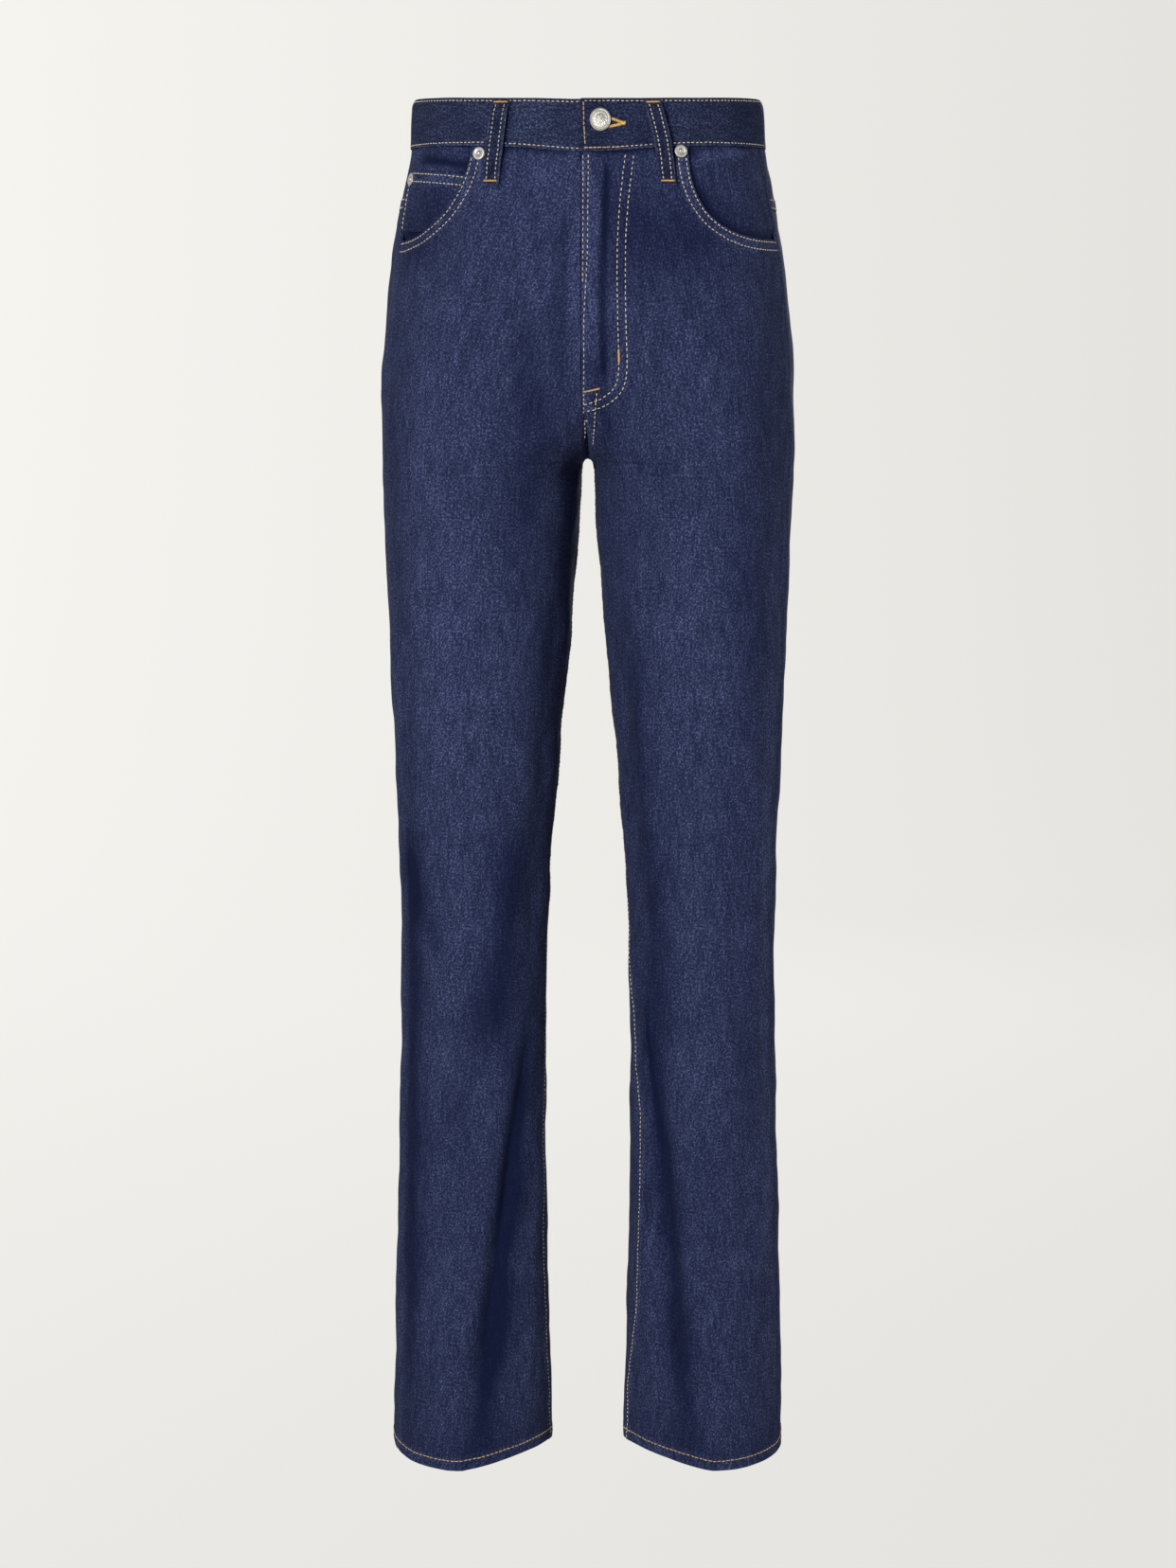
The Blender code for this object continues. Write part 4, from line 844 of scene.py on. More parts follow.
def sewn_edge(points, line, seed, rows=(EDGE_STITCH, SECOND_STITCH), width=9.4 * MM, ripple=0.16 * MM):
    """Relief of a folded edge with its rows of stitches and the small puckers between them."""
    away, along = distance_to(points, line.points, width + 9 * MM)
    lift = allowance(away, width) + rounded(away) + sum(groove(away, centre) for centre in rows)
    lift = lift + ripple * wave(along, seed) * bell(away - 0.5 * (rows[0] + rows[-1]), 0.6 * width)
    return lift + 0.6 * ripple * wave(along, seed + 4, 13) * bell(away - width - 2 * MM, 3.5 * MM)


def open_seam(points, line, seed):
    """Relief of a seam whose allowances are pressed open inside, without stitches outside."""
    away, along = distance_to(points, line.points, 20 * MM)
    lift = allowance(away, 9 * MM, 0.3 * MM, 2.4 * MM) + 1.2 * rounded(away, 1.1 * MM)
    return lift + 0.14 * MM * wave(along, seed, 14) * bell(away, 8 * MM)


def roped_hem(points, line, seed):
    """Relief of a turned-up hem: slanting ropes between its stitches and the edge."""
    away, along = distance_to(points, line.points, 20 * MM)
    slant = along + 0.9 * np.where(np.isfinite(away), away, 0)
    rope = np.sin(2 * math.pi * slant / (8.5 * MM) + seed + 1.4 * wave(along, seed, 31))
    lift = allowance(away, 10 * MM, 0.5 * MM, 1.8 * MM) + rounded(away) + groove(away, HEM_STITCH)
    return lift + 0.22 * MM * rope * smooth(away / (1.5 * MM)) * smooth((11 * MM - away) / (5 * MM))


def pressed_line(points, spots, height, half_width):
    """A soft ridge or dent along a line on the front, fading at both ends."""
    line = front_line(spots)
    away, along = distance_to(points, line.points, 3 * half_width)
    fade = smooth((along + 5 * MM) / (16 * MM)) * smooth((line.travelled[-1] - along) / (16 * MM))
    return height * bell(away, half_width) * fade


# ---------------------------------------------------------------- shells
SHELLS = {}


def edge_steps(width, fine_start, fine_end, step):
    """Shares across a panel of this width: close together near both edges, even between them."""
    start = FOLDED_EDGE_STEPS[FOLDED_EDGE_STEPS <= fine_start]
    end = FOLDED_EDGE_STEPS[FOLDED_EDGE_STEPS <= fine_end]
    middle = np.arange(start[-1] + step, width - end[-1] - 0.5 * step, step)
    return np.concatenate([start, middle, width - end[::-1]]) / width


def squeezed(edge_in, edge_out, share):
    """Turns across a panel: a narrowed outer edge moves only the columns beyond the crest."""
    squeeze_turn = 0.2
    is_front = edge_out < 0.5
    widest = np.where(is_front, OUTSEAM_TURN, edge_out)
    turn = edge_in + (widest - edge_in) * share
    outer_part = np.clip((turn - squeeze_turn) / (widest - squeeze_turn), 0, 1)
    return turn - outer_part * (widest - edge_out)


def grain(outer, turn, side, reference_turn):
    """Weave coordinates of a panel: metres across the warp and along it."""
    rows = [(travel(points), turns) for points, turns in zip(outer, turn)]
    across = np.array([travelled - np.interp(reference_turn, turns, travelled) for travelled, turns in rows])
    return np.stack([side * across, outer[..., 2], 0 * across], axis=-1)


def cloth_shell(name, outer, inner, weave, node, wraps=False, inside=0, wear_and_shade=None):
    """Closed shell between two grids. Weave coordinates and paleness (worn relief, painted shade) go with its
    points.
    """
    rows, columns, _ = outer.shape
    layer = rows * columns
    points = np.concatenate([outer.reshape(-1, 3), inner.reshape(-1, 3)])
    numbers = np.arange(layer).reshape(rows, columns)
    if wraps:
        numbers = np.concatenate([numbers, numbers[:, :1]], axis=1)
    front = np.stack([numbers[:-1, :-1], numbers[1:, :-1], numbers[1:, 1:], numbers[:-1, 1:]], axis=-1)
    front = front.reshape(-1, 4)
    rims = [rim_faces(numbers[0], layer)[:, ::-1], rim_faces(numbers[-1], layer)]
    if not wraps:
        rims += [rim_faces(numbers[:, 0], layer), rim_faces(numbers[:, -1], layer)[:, ::-1]]
    rim = np.concatenate(rims)
    faces = np.concatenate([front, front[:, ::-1] + layer, rim])
    if volume(points, faces) < 0:
        faces = faces[:, ::-1]
    slots = np.repeat([0, inside, 0], [len(front), len(front), len(rim)])
    item = mesh_object(name, points, faces, [DENIM, DENIM_REVERSE], slots)
    flat_weave = weave.reshape(-1, 3)
    set_attribute(item.data, "cloth", np.concatenate([flat_weave, flat_weave * [-1, 1, 1]]))
    wear_and_shade = np.zeros(layer) if wear_and_shade is None else wear_and_shade.reshape(-1)
    # The paleness attribute holds worn relief plus painted shade and painted highlight
    set_attribute(item.data, "wear_and_shade", np.concatenate([wear_and_shade, 0 * wear_and_shade]))
    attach(item, "root")
    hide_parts(node)
    SHELLS[name] = BVHTree.FromPolygons(points[:layer].tolist(), front.tolist())
    return item


def rim_faces(edge, layer):
    """Faces that join an edge of the outer grid to the inner one."""
    return np.stack([edge[:-1], edge[1:], edge[1:] + layer, edge[:-1] + layer], axis=-1)


def volume(points, faces):
    """Volume inside quads, negative where they point in."""
    a, b, c, d = (points[faces[:, corner]] for corner in range(4))
    return (np.einsum("ij,ij->i", a, np.cross(b, c)) + np.einsum("ij,ij->i", a, np.cross(c, d))).sum() / 6


def new_object(name, data):
    """Object in the scene."""
    item = bpy.data.objects.new(name, data)
    bpy.context.scene.collection.objects.link(item)
    return item


def mesh_object(name, points, faces, materials, slots=None, sharp_angle=50):
    """Smooth-shaded mesh."""
    mesh = bpy.data.meshes.new(name)
    mesh.from_pydata(np.asarray(points).tolist(), [], faces if isinstance(faces, list) else faces.tolist())
    for material in materials:
        mesh.materials.append(material)
    if slots is not None:
        mesh.polygons.foreach_set("material_index", slots)
    mesh.shade_smooth()
    mesh.set_sharp_from_angle(angle=math.radians(sharp_angle))
    return new_object(name, mesh)


def set_attribute(mesh, name, values):
    """Number or vector for each point of a mesh."""
    values = np.asarray(values, dtype=np.float32)
    kind, field = ("FLOAT_VECTOR", "vector") if values.ndim == 2 else ("FLOAT", "value")
    mesh.attributes.new(name, kind, "POINT").data.foreach_set(field, values.ravel())


def moved_out(bare, normal, lift):
    """Points at a lift over the bare cloth."""
    return bare + normal * np.asarray(lift)[..., None]


def panel(name, side, turn, drop, lift, relief, reference_turn, bends=None, painted_shade=None):
    """Shell of one cloth piece: folded with the garment, its relief on the outside only."""
    bare = bare_surface(side, turn, drop)
    normal = surface_normal(side, turn, drop)
    raised = relief(bare)
    base = lift + fold_lift(side, turn, drop) + wobble(bare)
    if bends:
        base = base + bends(bare)
    # Paler on worn relief, plus painted shade and painted highlight from the shading rows and the piece's own
    # function
    wear_and_shade = raised / FULL_WEAR_RELIEF + bent_rows(PAINTED_SHADE_ROWS, side, turn, drop)
    if painted_shade:
        wear_and_shade = wear_and_shade + painted_shade(bare)
    outer = moved_out(bare, normal, base + raised)
    inner = moved_out(bare, normal, base - CLOTH)
    weave = grain(bare, turn, side, reference_turn)
    return cloth_shell(f"{name}_denim", outer, inner, weave, name, inside=1, wear_and_shade=wear_and_shade)


def rise_steps(start, end, count):
    """Heights that crowd together towards the crotch."""
    return start + (end - start) * np.sin(0.5 * math.pi * np.arange(1, count + 1) / count)


def leg_steps(step):
    """Heights from the crotch's rounding to the hem."""
    rounding = CROTCH_DROP + CROTCH_ROUNDING * ROUNDING_SHARES
    end = HEM_DROP - HEM_END_STEPS[::-1]
    return np.concatenate([
        rounding,
        np.linspace(rounding[-1], end[0], int((end[0] - rounding[-1]) / step))[1:],
        end[1:],
    ])


def fitted_grid(heights, across, upper_edge, slide_span):
    """Turns and drops of a panel whose upper rows follow its upper edge."""
    drop = heights[:, None]
    turn = across(drop)
    drop = drop + 0 * turn
    slide = np.clip(1 - (drop - heights[0]) / slide_span, 0, 1)
    drop = drop + (upper_edge(turn) - heights[0]) * slide
    return across(drop), drop


def front_panel(side):
    """Front leg panel with its pocket scooped out, the fly's lap, rise, inseam, outseam and hem."""
    top = BAND_HEIGHT + BAND_GAP
    mouth_end = POCKET_BOTTOM_DROP[side]
    mouth_angle = 0.5 * math.pi * (1 - (1 - np.arange(1, 37) / 36) ** 1.5)
    heights = np.concatenate([
        [top],
        top + (mouth_end - top) * np.sin(mouth_angle),
        mouth_end + np.arange(1, 17) * 0.75 * MM,
        np.arange(mouth_end + 14 * MM, 198 * MM, 2.4 * MM),
        np.arange(198 * MM, 254 * MM, 1.3 * MM),
        rise_steps(254 * MM, CROTCH_DROP, 22),
        leg_steps(3.0 * MM),
    ])
    share = edge_steps(FRONT_WIDTH, SEWN_SIDE, SEWN_SIDE, 2.7 * MM)
    if side == LEFT:
        fly_part = np.arange(12.4, 37, 1.2) * MM / FRONT_WIDTH
        rest = share[(share > fly_part[-1] + 0.006) | (share < fly_part[0] - 0.003)]
        share = np.sort(np.concatenate([rest, fly_part]))

    def across(drop):
        """Turns over the whole width."""
        inner = inseam_turn(side, drop)
        outer = pocket_mouth_turn(side, drop)
        return squeezed(inner + seam_margin(side, inner, drop), outer - seam_margin(side, outer, drop), share)

    turn, drop = fitted_grid(heights, across, lambda turn: band_bottom(side, turn) + BAND_GAP, 30 * MM)
    lap = FLY_LAP_LIFT * smooth(1 - turn / FLY_LAP_TURN) * above_fly_end(drop)
    mouth = mouth_line(side)
    outseam = outseam_line(side, mouth_end)
    inseam = inseam_line(side)
    hem_end = hem_line(side)
    centre = centre_front_line()

    def relief(points):
        """Everything sewn on this panel."""
        raised = np.maximum(sewn_edge(points, mouth, 1.0 + side), open_seam(points, outseam, 3.0 + side))
        raised = raised + sewn_edge(points, inseam, 5.0 + side, (INSEAM_STITCH,), 6.4 * MM, 0.22 * MM)
        raised = raised + roped_hem(points, hem_end, 2.0 + side)
        return raised + (fly_relief(points, centre) if side == LEFT else open_seam(points, centre, 6.0))

    def painted_shade(points):
        """Painted shadow under the waistband and beside the belt loop, and on the left front painted shade
        along the zip's crease with a painted highlight on its ridge.
        """
        dark = loop_shade(points) - 2.1 * bell(drop - band_bottom(side, turn), 3.4 * MM)
        return dark + fly_painted_shade(points) if side == LEFT else dark

    fly = (lap, fly_bends) if side == LEFT else (0, None)
    item = panel(f"front_{SIDE_NAME[side]}", side, turn, drop, fly[0], relief, 0.25, fly[1], painted_shade)


def fly_relief(points, centre):
    """Lap of the fly: its edge and the J's two rows."""
    inner = front_line(J_INNER)
    raised = sewn_edge(points, centre, 7.0, (4.4 * MM,), 6.5 * MM, 0.12 * MM)
    for row in (inner, inner.offset(-J_WIDTH)):
        raised = raised + groove(distance_to(points, row.points, 12 * MM)[0], 0)
    return raised


def fly_bends(points):
    """The hidden zip's ridge and the crease beside it."""
    crease = pressed_line(points, FLY_CREASE, -2.3 * MM, 2.6 * MM)
    return crease + pressed_line(points, FLY_RIDGE, 1.6 * MM, 3.8 * MM)


def fly_painted_shade(points):
    """Painted shade in the crease beside the zip and a painted highlight on the ridge over it."""
    return pressed_line(points, FLY_CREASE, -1.9, 3.4 * MM) + pressed_line(points, FLY_RIDGE, 0.7, 3.6 * MM)


def loop_shade(points):
    """Dark strips in the shade of the two front belt loops, on the wearer's left of each."""
    dark = np.zeros(points.shape[:-1])
    for loop in LOOPS[:2]:
        line = loop_line(loop, LOOP_WIDTH / 2 + 0.6 * MM, loop_top(loop) + 3 * MM, LOOP_BOTTOM_DROP)
        dark = dark - 1.7 * bell(distance_to(points, line.points, 9 * MM)[0], 2.2 * MM)
    return dark


def back_panel(side):
    """Back leg panel with the yoke seam, rise, inseam, outseam and hem."""
    top = YOKE_SIDE_DROP + SEAM_GAP
    heights = np.concatenate([
        top + FOLDED_EDGE_STEPS,
        np.arange(top + 14 * MM, 236 * MM, 3.0 * MM),
        rise_steps(236 * MM, CROTCH_DROP, 24),
        leg_steps(3.8 * MM),
    ])
    share = edge_steps(BACK_WIDTH, SEWN_SIDE, SEWN_SIDE, 3.8 * MM)

    def across(drop):
        """Turns over the whole width, the centre seam's edges closer together than the others."""
        inner = 1 + inseam_turn(side, drop)
        inner = inner - SEAT_GAP_SHARE * seam_margin(side, inner - 0.002, drop)
        outer = OUTSEAM_TURN + seam_margin(side, OUTSEAM_TURN, drop)
        return outer + (inner - outer) * share

    turn, drop = fitted_grid(heights, across, lambda turn: yoke_bottom(side, turn) + SEAM_GAP, 60 * MM)
    yoke_seam = yoke_line(side)
    outseam = outseam_line(side, YOKE_SIDE_DROP)
    inseam = inseam_line(side)
    hem_end = hem_line(side)
    centre = centre_back_line()

    def relief(points):
        """Everything sewn on this panel."""
        raised = open_seam(points, outseam, 8.0 + side) + 0.8 * open_seam(points, inseam, 9.0 + side)
        raised = raised + 0.8 * open_seam(points, yoke_seam, 4.0 + side)
        raised = raised + roped_hem(points, hem_end, 2.0 + side)
        return np.maximum(raised, sewn_edge(points, centre, 10.0)) if side == LEFT else raised

    item = panel(f"back_{SIDE_NAME[side]}", side, turn, drop, 0, relief, 0.75)


def yoke(side):
    """Wedge between the waistband and the back panel, sewn down along its lower edge."""
    share = edge_steps(YOKE_WIDTH, PLAIN_SIDE, PLAIN_SIDE, 3.2 * MM)
    down = edge_steps(YOKE_HEIGHT, HIDDEN_SIDE, SEWN_SIDE, 2.6 * MM)[:, None]
    turn = OUTSEAM_TURN + (1 - OUTSEAM_TURN) * share[None, :]
    margin = seam_margin(side, np.minimum(turn, 0.998), 0.5 * (BAND_HEIGHT + YOKE_SIDE_DROP))
    turn = turn + margin * (1 - 2 * share)
    start = band_bottom(side, turn) + BAND_GAP
    drop = start + (yoke_bottom(side, turn) - start) * down
    seam = yoke_line(side)
    outseam = outseam_line(side, BAND_HEIGHT)
    centre = centre_back_line()

    def relief(points):
        """Two rows along the lower edge, the rise and the outseam."""
        raised = np.maximum(sewn_edge(points, seam, 11.0 + side), open_seam(points, outseam, 12.0 + side))
        return np.maximum(raised, sewn_edge(points, centre, 13.0)) if side == LEFT else raised

    item = panel(f"yoke_{SIDE_NAME[side]}", side, turn + 0 * drop, drop, 0, relief, 0.75)


def facing_grid(side, start_drop, end_drop, down, share, under, dip=0.0):
    """Turns and drops from under the front panel's edge, where the top may dip, out to the outseam."""
    drop = start_drop + (end_drop - start_drop) * down + dip * (1 - down) * (1 - share)
    mouth = np.minimum(drop, POCKET_BOTTOM_DROP[side] - 0.5 * MM)
    edge_in = turn_at_x(side, pocket_mouth_x(side, mouth) - under, drop)
    edge_out = OUTSEAM_TURN - seam_margin(side, OUTSEAM_TURN, drop)
    return edge_in + (edge_out - edge_in) * share, drop


def pocket_facing(side):
    """Denim behind the pocket mouth."""
    end = POCKET_BOTTOM_DROP[side] + POCKET_UNDER
    down = np.linspace(0, 1, 44)[:, None]
    share = edge_steps(FACING_WIDTH, HIDDEN_SIDE, PLAIN_SIDE, 2.2 * MM)
    turn, drop = facing_grid(side, BAND_HEIGHT + BAND_GAP, end, down, share, POCKET_UNDER)
    depth_at_seam = -facing_lift(side, turn[:, -1:], drop[:, -1:])
    tucked = smooth((depth_at_seam - 1.7 * MM) / (0.6 * MM))
    turn = turn + FACING_TUCK_TURN * tucked * smooth((share - 0.5) / 0.5)
    outseam = outseam_line(side, BAND_HEIGHT)
    mouth = mouth_line(side)
    strength, ground = FACING_SHADE[side]

    def relief(points):
        """The side seam."""
        return open_seam(points, outseam, 14.0 + side)

    def painted_shade(points):
        """Painted shade over the whole facing, darker still in a painted shadow along the mouth's edge."""
        return -ground - strength * bell(distance_to(points, mouth.points, 22 * MM)[0], 6.5 * MM)

    lift = facing_lift(side, turn, drop)
    item = panel(f"pocket_facing_{SIDE_NAME[side]}", side, turn, drop, lift, relief, 0.4, None, painted_shade)


def coin_grid(down, share):
    """Turns and drops on the coin pocket, from under the mouth out to the outseam."""
    return facing_grid(
        RIGHT, COIN_POCKET_DROP, COIN_POCKET_END_DROP, down, share, COIN_POCKET_UNDER, COIN_POCKET_DIP
    )


def coin_edge_line():
    """Top edge of the coin pocket."""
    turn, drop = coin_grid(np.zeros((1, 1)), np.linspace(0, 1, 50))
    return surface_line(RIGHT, turn[0], drop[0])


def coin_pocket():
    """Small pocket on the right facing, hemmed with two rows along its top edge."""
    down = edge_steps(COIN_HEIGHT, SEWN_SIDE, HIDDEN_SIDE, 2.0 * MM)[:, None]
    turn, drop = coin_grid(down, edge_steps(COIN_WIDTH, HIDDEN_SIDE, PLAIN_SIDE, 2.0 * MM))
    edge = coin_edge_line()

    def relief(points):
        """The hemmed top edge."""
        return sewn_edge(points, edge, 15.0, (EDGE_STITCH, SECOND_STITCH), 8.6 * MM, 0.12 * MM)

    item = panel("coin_pocket", RIGHT, turn, drop, facing_lift(RIGHT, turn, drop) + LAYER, relief, 0.4)


def waist_place(path):
    """Turn and side of places on the way round the whole waist, from the centre front over the left side."""
    signed = np.where(path > 1, path - 2, path)
    return np.abs(signed), (signed >= 0)[..., None]


def round_waist(path, drop, lift):
    """Point, outward direction and place of the cloth by its way round the whole waist."""
    turn, is_left = waist_place(path)
    bare = np.where(is_left, bare_surface(LEFT, turn, drop), bare_surface(RIGHT, turn, drop))
    normal = np.where(is_left, surface_normal(LEFT, turn, drop), surface_normal(RIGHT, turn, drop))
    return moved_out(bare, normal, lift), normal, bare


def waistband():
    """Straight band round the waist, lapped at the front, both long edges folded and sewn."""
    lap, step_start, step_end = (
        turn_at_x(RIGHT, -x, BAND_HEIGHT) for x in (BAND_LAP_X, BAND_STEP_START_X, BAND_STEP_END_X)
    )
    under = turn_at_x(LEFT, BAND_UNDERLAP_X, BAND_HEIGHT)
    path = np.concatenate([
        FOLDED_EDGE_STEPS[:7] * BAND_TURN_PER_METRE - lap,
        np.arange(0.022 - lap, 0.24, 0.0034),
        np.arange(0.24, 2 + under, 0.0062),
        [2 + under],
    ])
    down = edge_steps(BAND_MESH_HEIGHT, 5 * MM, 5 * MM, 1.5 * MM)[:, None]
    turn, _ = waist_place(path)
    bottom = np.where(turn < 0.5, band_bottom(LEFT, turn), BAND_HEIGHT)
    top = band_top(turn)
    drop = top + (bottom - top) * down
    path = path + 0 * down
    lift = BAND_LIFT - BAND_STEP * smooth((path - (2 - step_start)) / (step_start - step_end))

    _, _, bare = round_waist(path, drop, lift)
    x, y, _ = np.moveaxis(bare, -1, 0)
    from_top = drop - top
    from_bottom = bottom - drop
    from_lap = travel(bare[len(bare) // 2]) + 0 * drop
    raised = rounded(from_top, 1.1 * MM) + rounded(from_bottom) + rounded(from_lap)
    raised = raised + groove(from_top, BAND_STITCH) + groove(from_bottom, BAND_STITCH)
    raised = raised + groove(from_lap, 2.4 * MM) * (from_lap < 10 * MM)
    raised = raised + 0.16 * MM * wave(from_lap, 16.0, 11) * bell(from_bottom - 3 * MM, 4 * MM)
    raised = raised + 0.12 * MM * wave(from_lap, 17.0, 15) * bell(from_top - 4 * MM, 5 * MM)
    between = smooth(from_top / (9 * MM)) * smooth(from_bottom / (9 * MM))
    raised = raised + 0.35 * MM * wave(from_lap, 18.0, 70) * between
    lean = np.clip(1 - from_top / (7 * MM), 0, 1) ** 2 * smooth((np.abs(x) - 100 * MM) / (28 * MM))
    base = lift + wobble(bare) * 0.6 - 2.2 * MM * lean
    outer, _, _ = round_waist(path, drop, base + raised)
    inner, _, _ = round_waist(path, drop, base - BAND_THICKNESS)
    weave = np.stack([-drop, -from_lap, 0 * drop], axis=-1)
    worn_edge = 4.5 * bell(from_bottom - 0.6 * MM, 0.7 * MM)
    # Painted highlight on the band front's wearer's-right part, painted shade on its wearer's-left part, and
    # the belt loops' painted shadow
    front_painted_shade = 1.1 * bell(x + 34 * MM, 28 * MM, 4) - 0.6 * bell(x - 22 * MM, 26 * MM, 4)
    wear_and_shade = raised / FULL_WEAR_RELIEF + worn_edge + loop_shade(bare) + front_painted_shade * (y < 0)
    item = cloth_shell("waistband_denim", outer, inner, weave, "waistband", wear_and_shade=wear_and_shade)
    item.data.materials[0] = DENIM_BAND_SHADED


def loop_points(x, drop, lift, is_back):
    """Points over the front or back of the body at signed x."""
    points = []
    for side in SIDES:
        turn = turn_at_x(side, np.abs(x), drop, is_back)
        bare = bare_surface(side, turn, drop)
        height = lift + fold_lift(side, turn, drop) + wobble(bare)
        points.append(moved_out(bare, surface_normal(side, turn, drop), height))
    return np.where((x >= 0)[..., None], *points)


def loop_top(loop):
    """Drop of a belt loop's upper end."""
    return LOOP_TOP_DROP + float(band_top(turn_at_x(LEFT, abs(loop["top_x"]) * MM, 0, loop["is_back"])))


def loop_x(loop, down, is_bowed=True):
    """Middle of a belt loop at a share of its height."""
    bow = loop["bow"] * np.sin(math.pi * down) ** 2 if is_bowed else 0
    return (loop["top_x"] + (loop["bottom_x"] - loop["top_x"]) * down + bow) * MM


def loop_line(loop, offset, start_drop, end_drop):
    """Line down a belt loop at an offset from its middle."""
    drop = np.linspace(start_drop, end_drop, 40)
    top = loop_top(loop)
    return x_line(loop_x(loop, (drop - top) / (LOOP_BOTTOM_DROP - top)) + offset, drop, loop["is_back"])


def loop_ground(drop):
    """Lift of what lies under a belt loop."""
    ground = np.where(drop < BAND_HEIGHT + 4 * MM, BAND_LIFT, 0)
    return ground * (1 - smooth((drop - BAND_HEIGHT) / (12 * MM)))


def belt_loops():
    """Strips that stand off the band, with overlocked edges and two rows of stitches."""
    across = np.concatenate([-LOOP_HALF_STEPS[::-1], [0], LOOP_HALF_STEPS])
    down = edge_steps(LOOP_BOTTOM_DROP, 4 * MM, 4 * MM, 1.3 * MM)[:, None]
    for number, loop in enumerate(LOOPS):
        top = loop_top(loop)
        drop = top + (LOOP_BOTTOM_DROP - top) * down + 0 * across
        x = loop_x(loop, down) + across
        lift = loop_ground(drop) + SEAM_GAP + LOOP_CLEARANCE * smooth(down / 0.2) * smooth((1 - down) / 0.34)
        from_side = LOOP_WIDTH / 2 - np.abs(across) + 0 * drop
        from_end = np.minimum(drop - top, LOOP_BOTTOM_DROP - drop)
        overlock = 0.1 * MM * np.sin(2 * math.pi * drop / (1.5 * MM)) * bell(from_side - 0.7 * MM, 0.6 * MM)
        raised = rounded(from_side, 0.9 * MM) + rounded(from_end, 0.8 * MM) + overlock
        raised = raised + groove(from_side, LOOP_STITCH, 0.3 * MM, 0.6 * MM)
        raised = raised + 0.22 * MM * wave(drop, 20.0 + number, 17) * smooth(from_side / (3 * MM))
        outer = loop_points(x, drop, lift + LOOP_THICKNESS + raised, loop["is_back"])
        inner = loop_points(x, drop, lift, loop["is_back"])
        weave = np.stack([across + 0.05 * number + 0 * drop, -drop, 0 * drop], axis=-1)
        worn_edges = 4.5 * bell(from_side - 0.3 * MM, 0.6 * MM) + 3.5 * bell(from_end, 0.7 * MM)
        wear_and_shade = raised / FULL_WEAR_RELIEF + worn_edges - 0.8
        name = f"belt_loop_{loop['name']}"
        item = cloth_shell(f"{name}_denim", outer, inner, weave, name, wear_and_shade=wear_and_shade)
        item.data.materials[0] = DENIM_BAND_SHADED


def fly_pieces():
    """Facing behind the J, the closed zip and the shield behind it, plain."""
    heights = np.concatenate([
        np.linspace(FLY_TOP_DROP, FLY_CURVE_DROP, 30),
        rise_steps(FLY_CURVE_DROP, FLY_BOTTOM_DROP, 14)[:-1],
    ])[:, None]
    fall = arc_fall((heights - FLY_CURVE_DROP) / (FLY_BOTTOM_DROP - FLY_CURVE_DROP), FLY_POWER)
    fly_piece("fly_facing", (FLY_FACING_START_X, FLY_WIDTH * fall), heights, 1)

    zip_x = (ZIP_X - ZIP_HALF_WIDTH, ZIP_X + ZIP_HALF_WIDTH)
    zip_tape = fly_piece("zip", zip_x, np.linspace(*ZIP_DROPS, 30)[:, None], 2)
    zip_tape.data.materials[0] = ZIP_TAPE
    zip_tape.data.materials[1] = ZIP_TAPE
    fly_piece("fly_shield", SHIELD_X, np.linspace(*SHIELD_DROPS, 30)[:, None], 3)


def fly_piece(name, ends_x, heights, depth):
    """A flat piece behind the front, so many layers in."""
    share = np.linspace(0, 1, 13)
    x = ends_x[0] + (ends_x[1] - ends_x[0]) * share + 0 * heights
    drop = heights + 0 * share
    lift = np.full(x.shape, -depth * LAYER)
    outer = loop_points(x, drop, lift, False)
    inner = loop_points(x, drop, lift - CLOTH, False)
    item = cloth_shell(f"{name}_cloth", outer, inner, np.stack([x, -drop, 0 * drop], axis=-1), name)
    return item


def back_pocket_place(side, across, down):
    """Turn and drop on a back pocket: across 0 at its inner side to 1, down 0 at its top to 1."""
    across, down = matched(across, down)
    width = BACK_POCKET_TOP_WIDTH + (BACK_POCKET_LOW_WIDTH - BACK_POCKET_TOP_WIDTH) * down
    distance = BACK_POCKET_INSET + 0.5 * BACK_POCKET_TOP_WIDTH + width * (across - 0.5)
    point = BACK_POCKET_POINT * (1 - np.abs(2 * across - 1))
    drop = BACK_POCKET_TOP_DROP + (BACK_POCKET_SIDE_HEIGHT + point) * down
    spots = [turn_from_back(side, *spot) for spot in zip(distance.flat, drop.flat)]
    return np.reshape(spots, drop.shape), drop


def back_pocket_outline(side):
    """Sides and pointed bottom of a back pocket, from the inner top corner to the outer one."""
    across = np.concatenate([np.zeros(30), np.linspace(0, 1, 61), np.ones(30)])
    down = np.concatenate([np.linspace(0, 1, 31)[:-1], np.ones(61), np.linspace(1, 0, 31)[1:]])
    return surface_line(side, *back_pocket_place(side, across, down))


def back_pocket_top(side):
    """Top edge of a back pocket."""
    return surface_line(side, *back_pocket_place(side, np.linspace(0, 1, 50), 0.0))


def back_pocket(side):
    """Five-cornered patch on the seat with a double-sewn edge and a hemmed top."""
    share = edge_steps(BACK_POCKET_MESH_WIDTH, SEWN_SIDE, SEWN_SIDE, 3.2 * MM)
    down = edge_steps(BACK_POCKET_MESH_HEIGHT, SEWN_SIDE, SEWN_SIDE, 3.2 * MM)[:, None]
    turn, drop = back_pocket_place(side, share, down)
    outline = back_pocket_outline(side)
    top = back_pocket_top(side)

    def relief(points):
        """Folded sides and bottom, and the hem along the top."""
        hemmed = sewn_edge(points, top, 24.0 + side, POCKET_HEM_ROWS, 13.5 * MM)
        return np.maximum(sewn_edge(points, outline, 22.0 + side), hemmed)

    item = panel(f"back_pocket_{SIDE_NAME[side]}", side, turn[:, ::-1], drop[:, ::-1], LAYER, relief, 0.8)


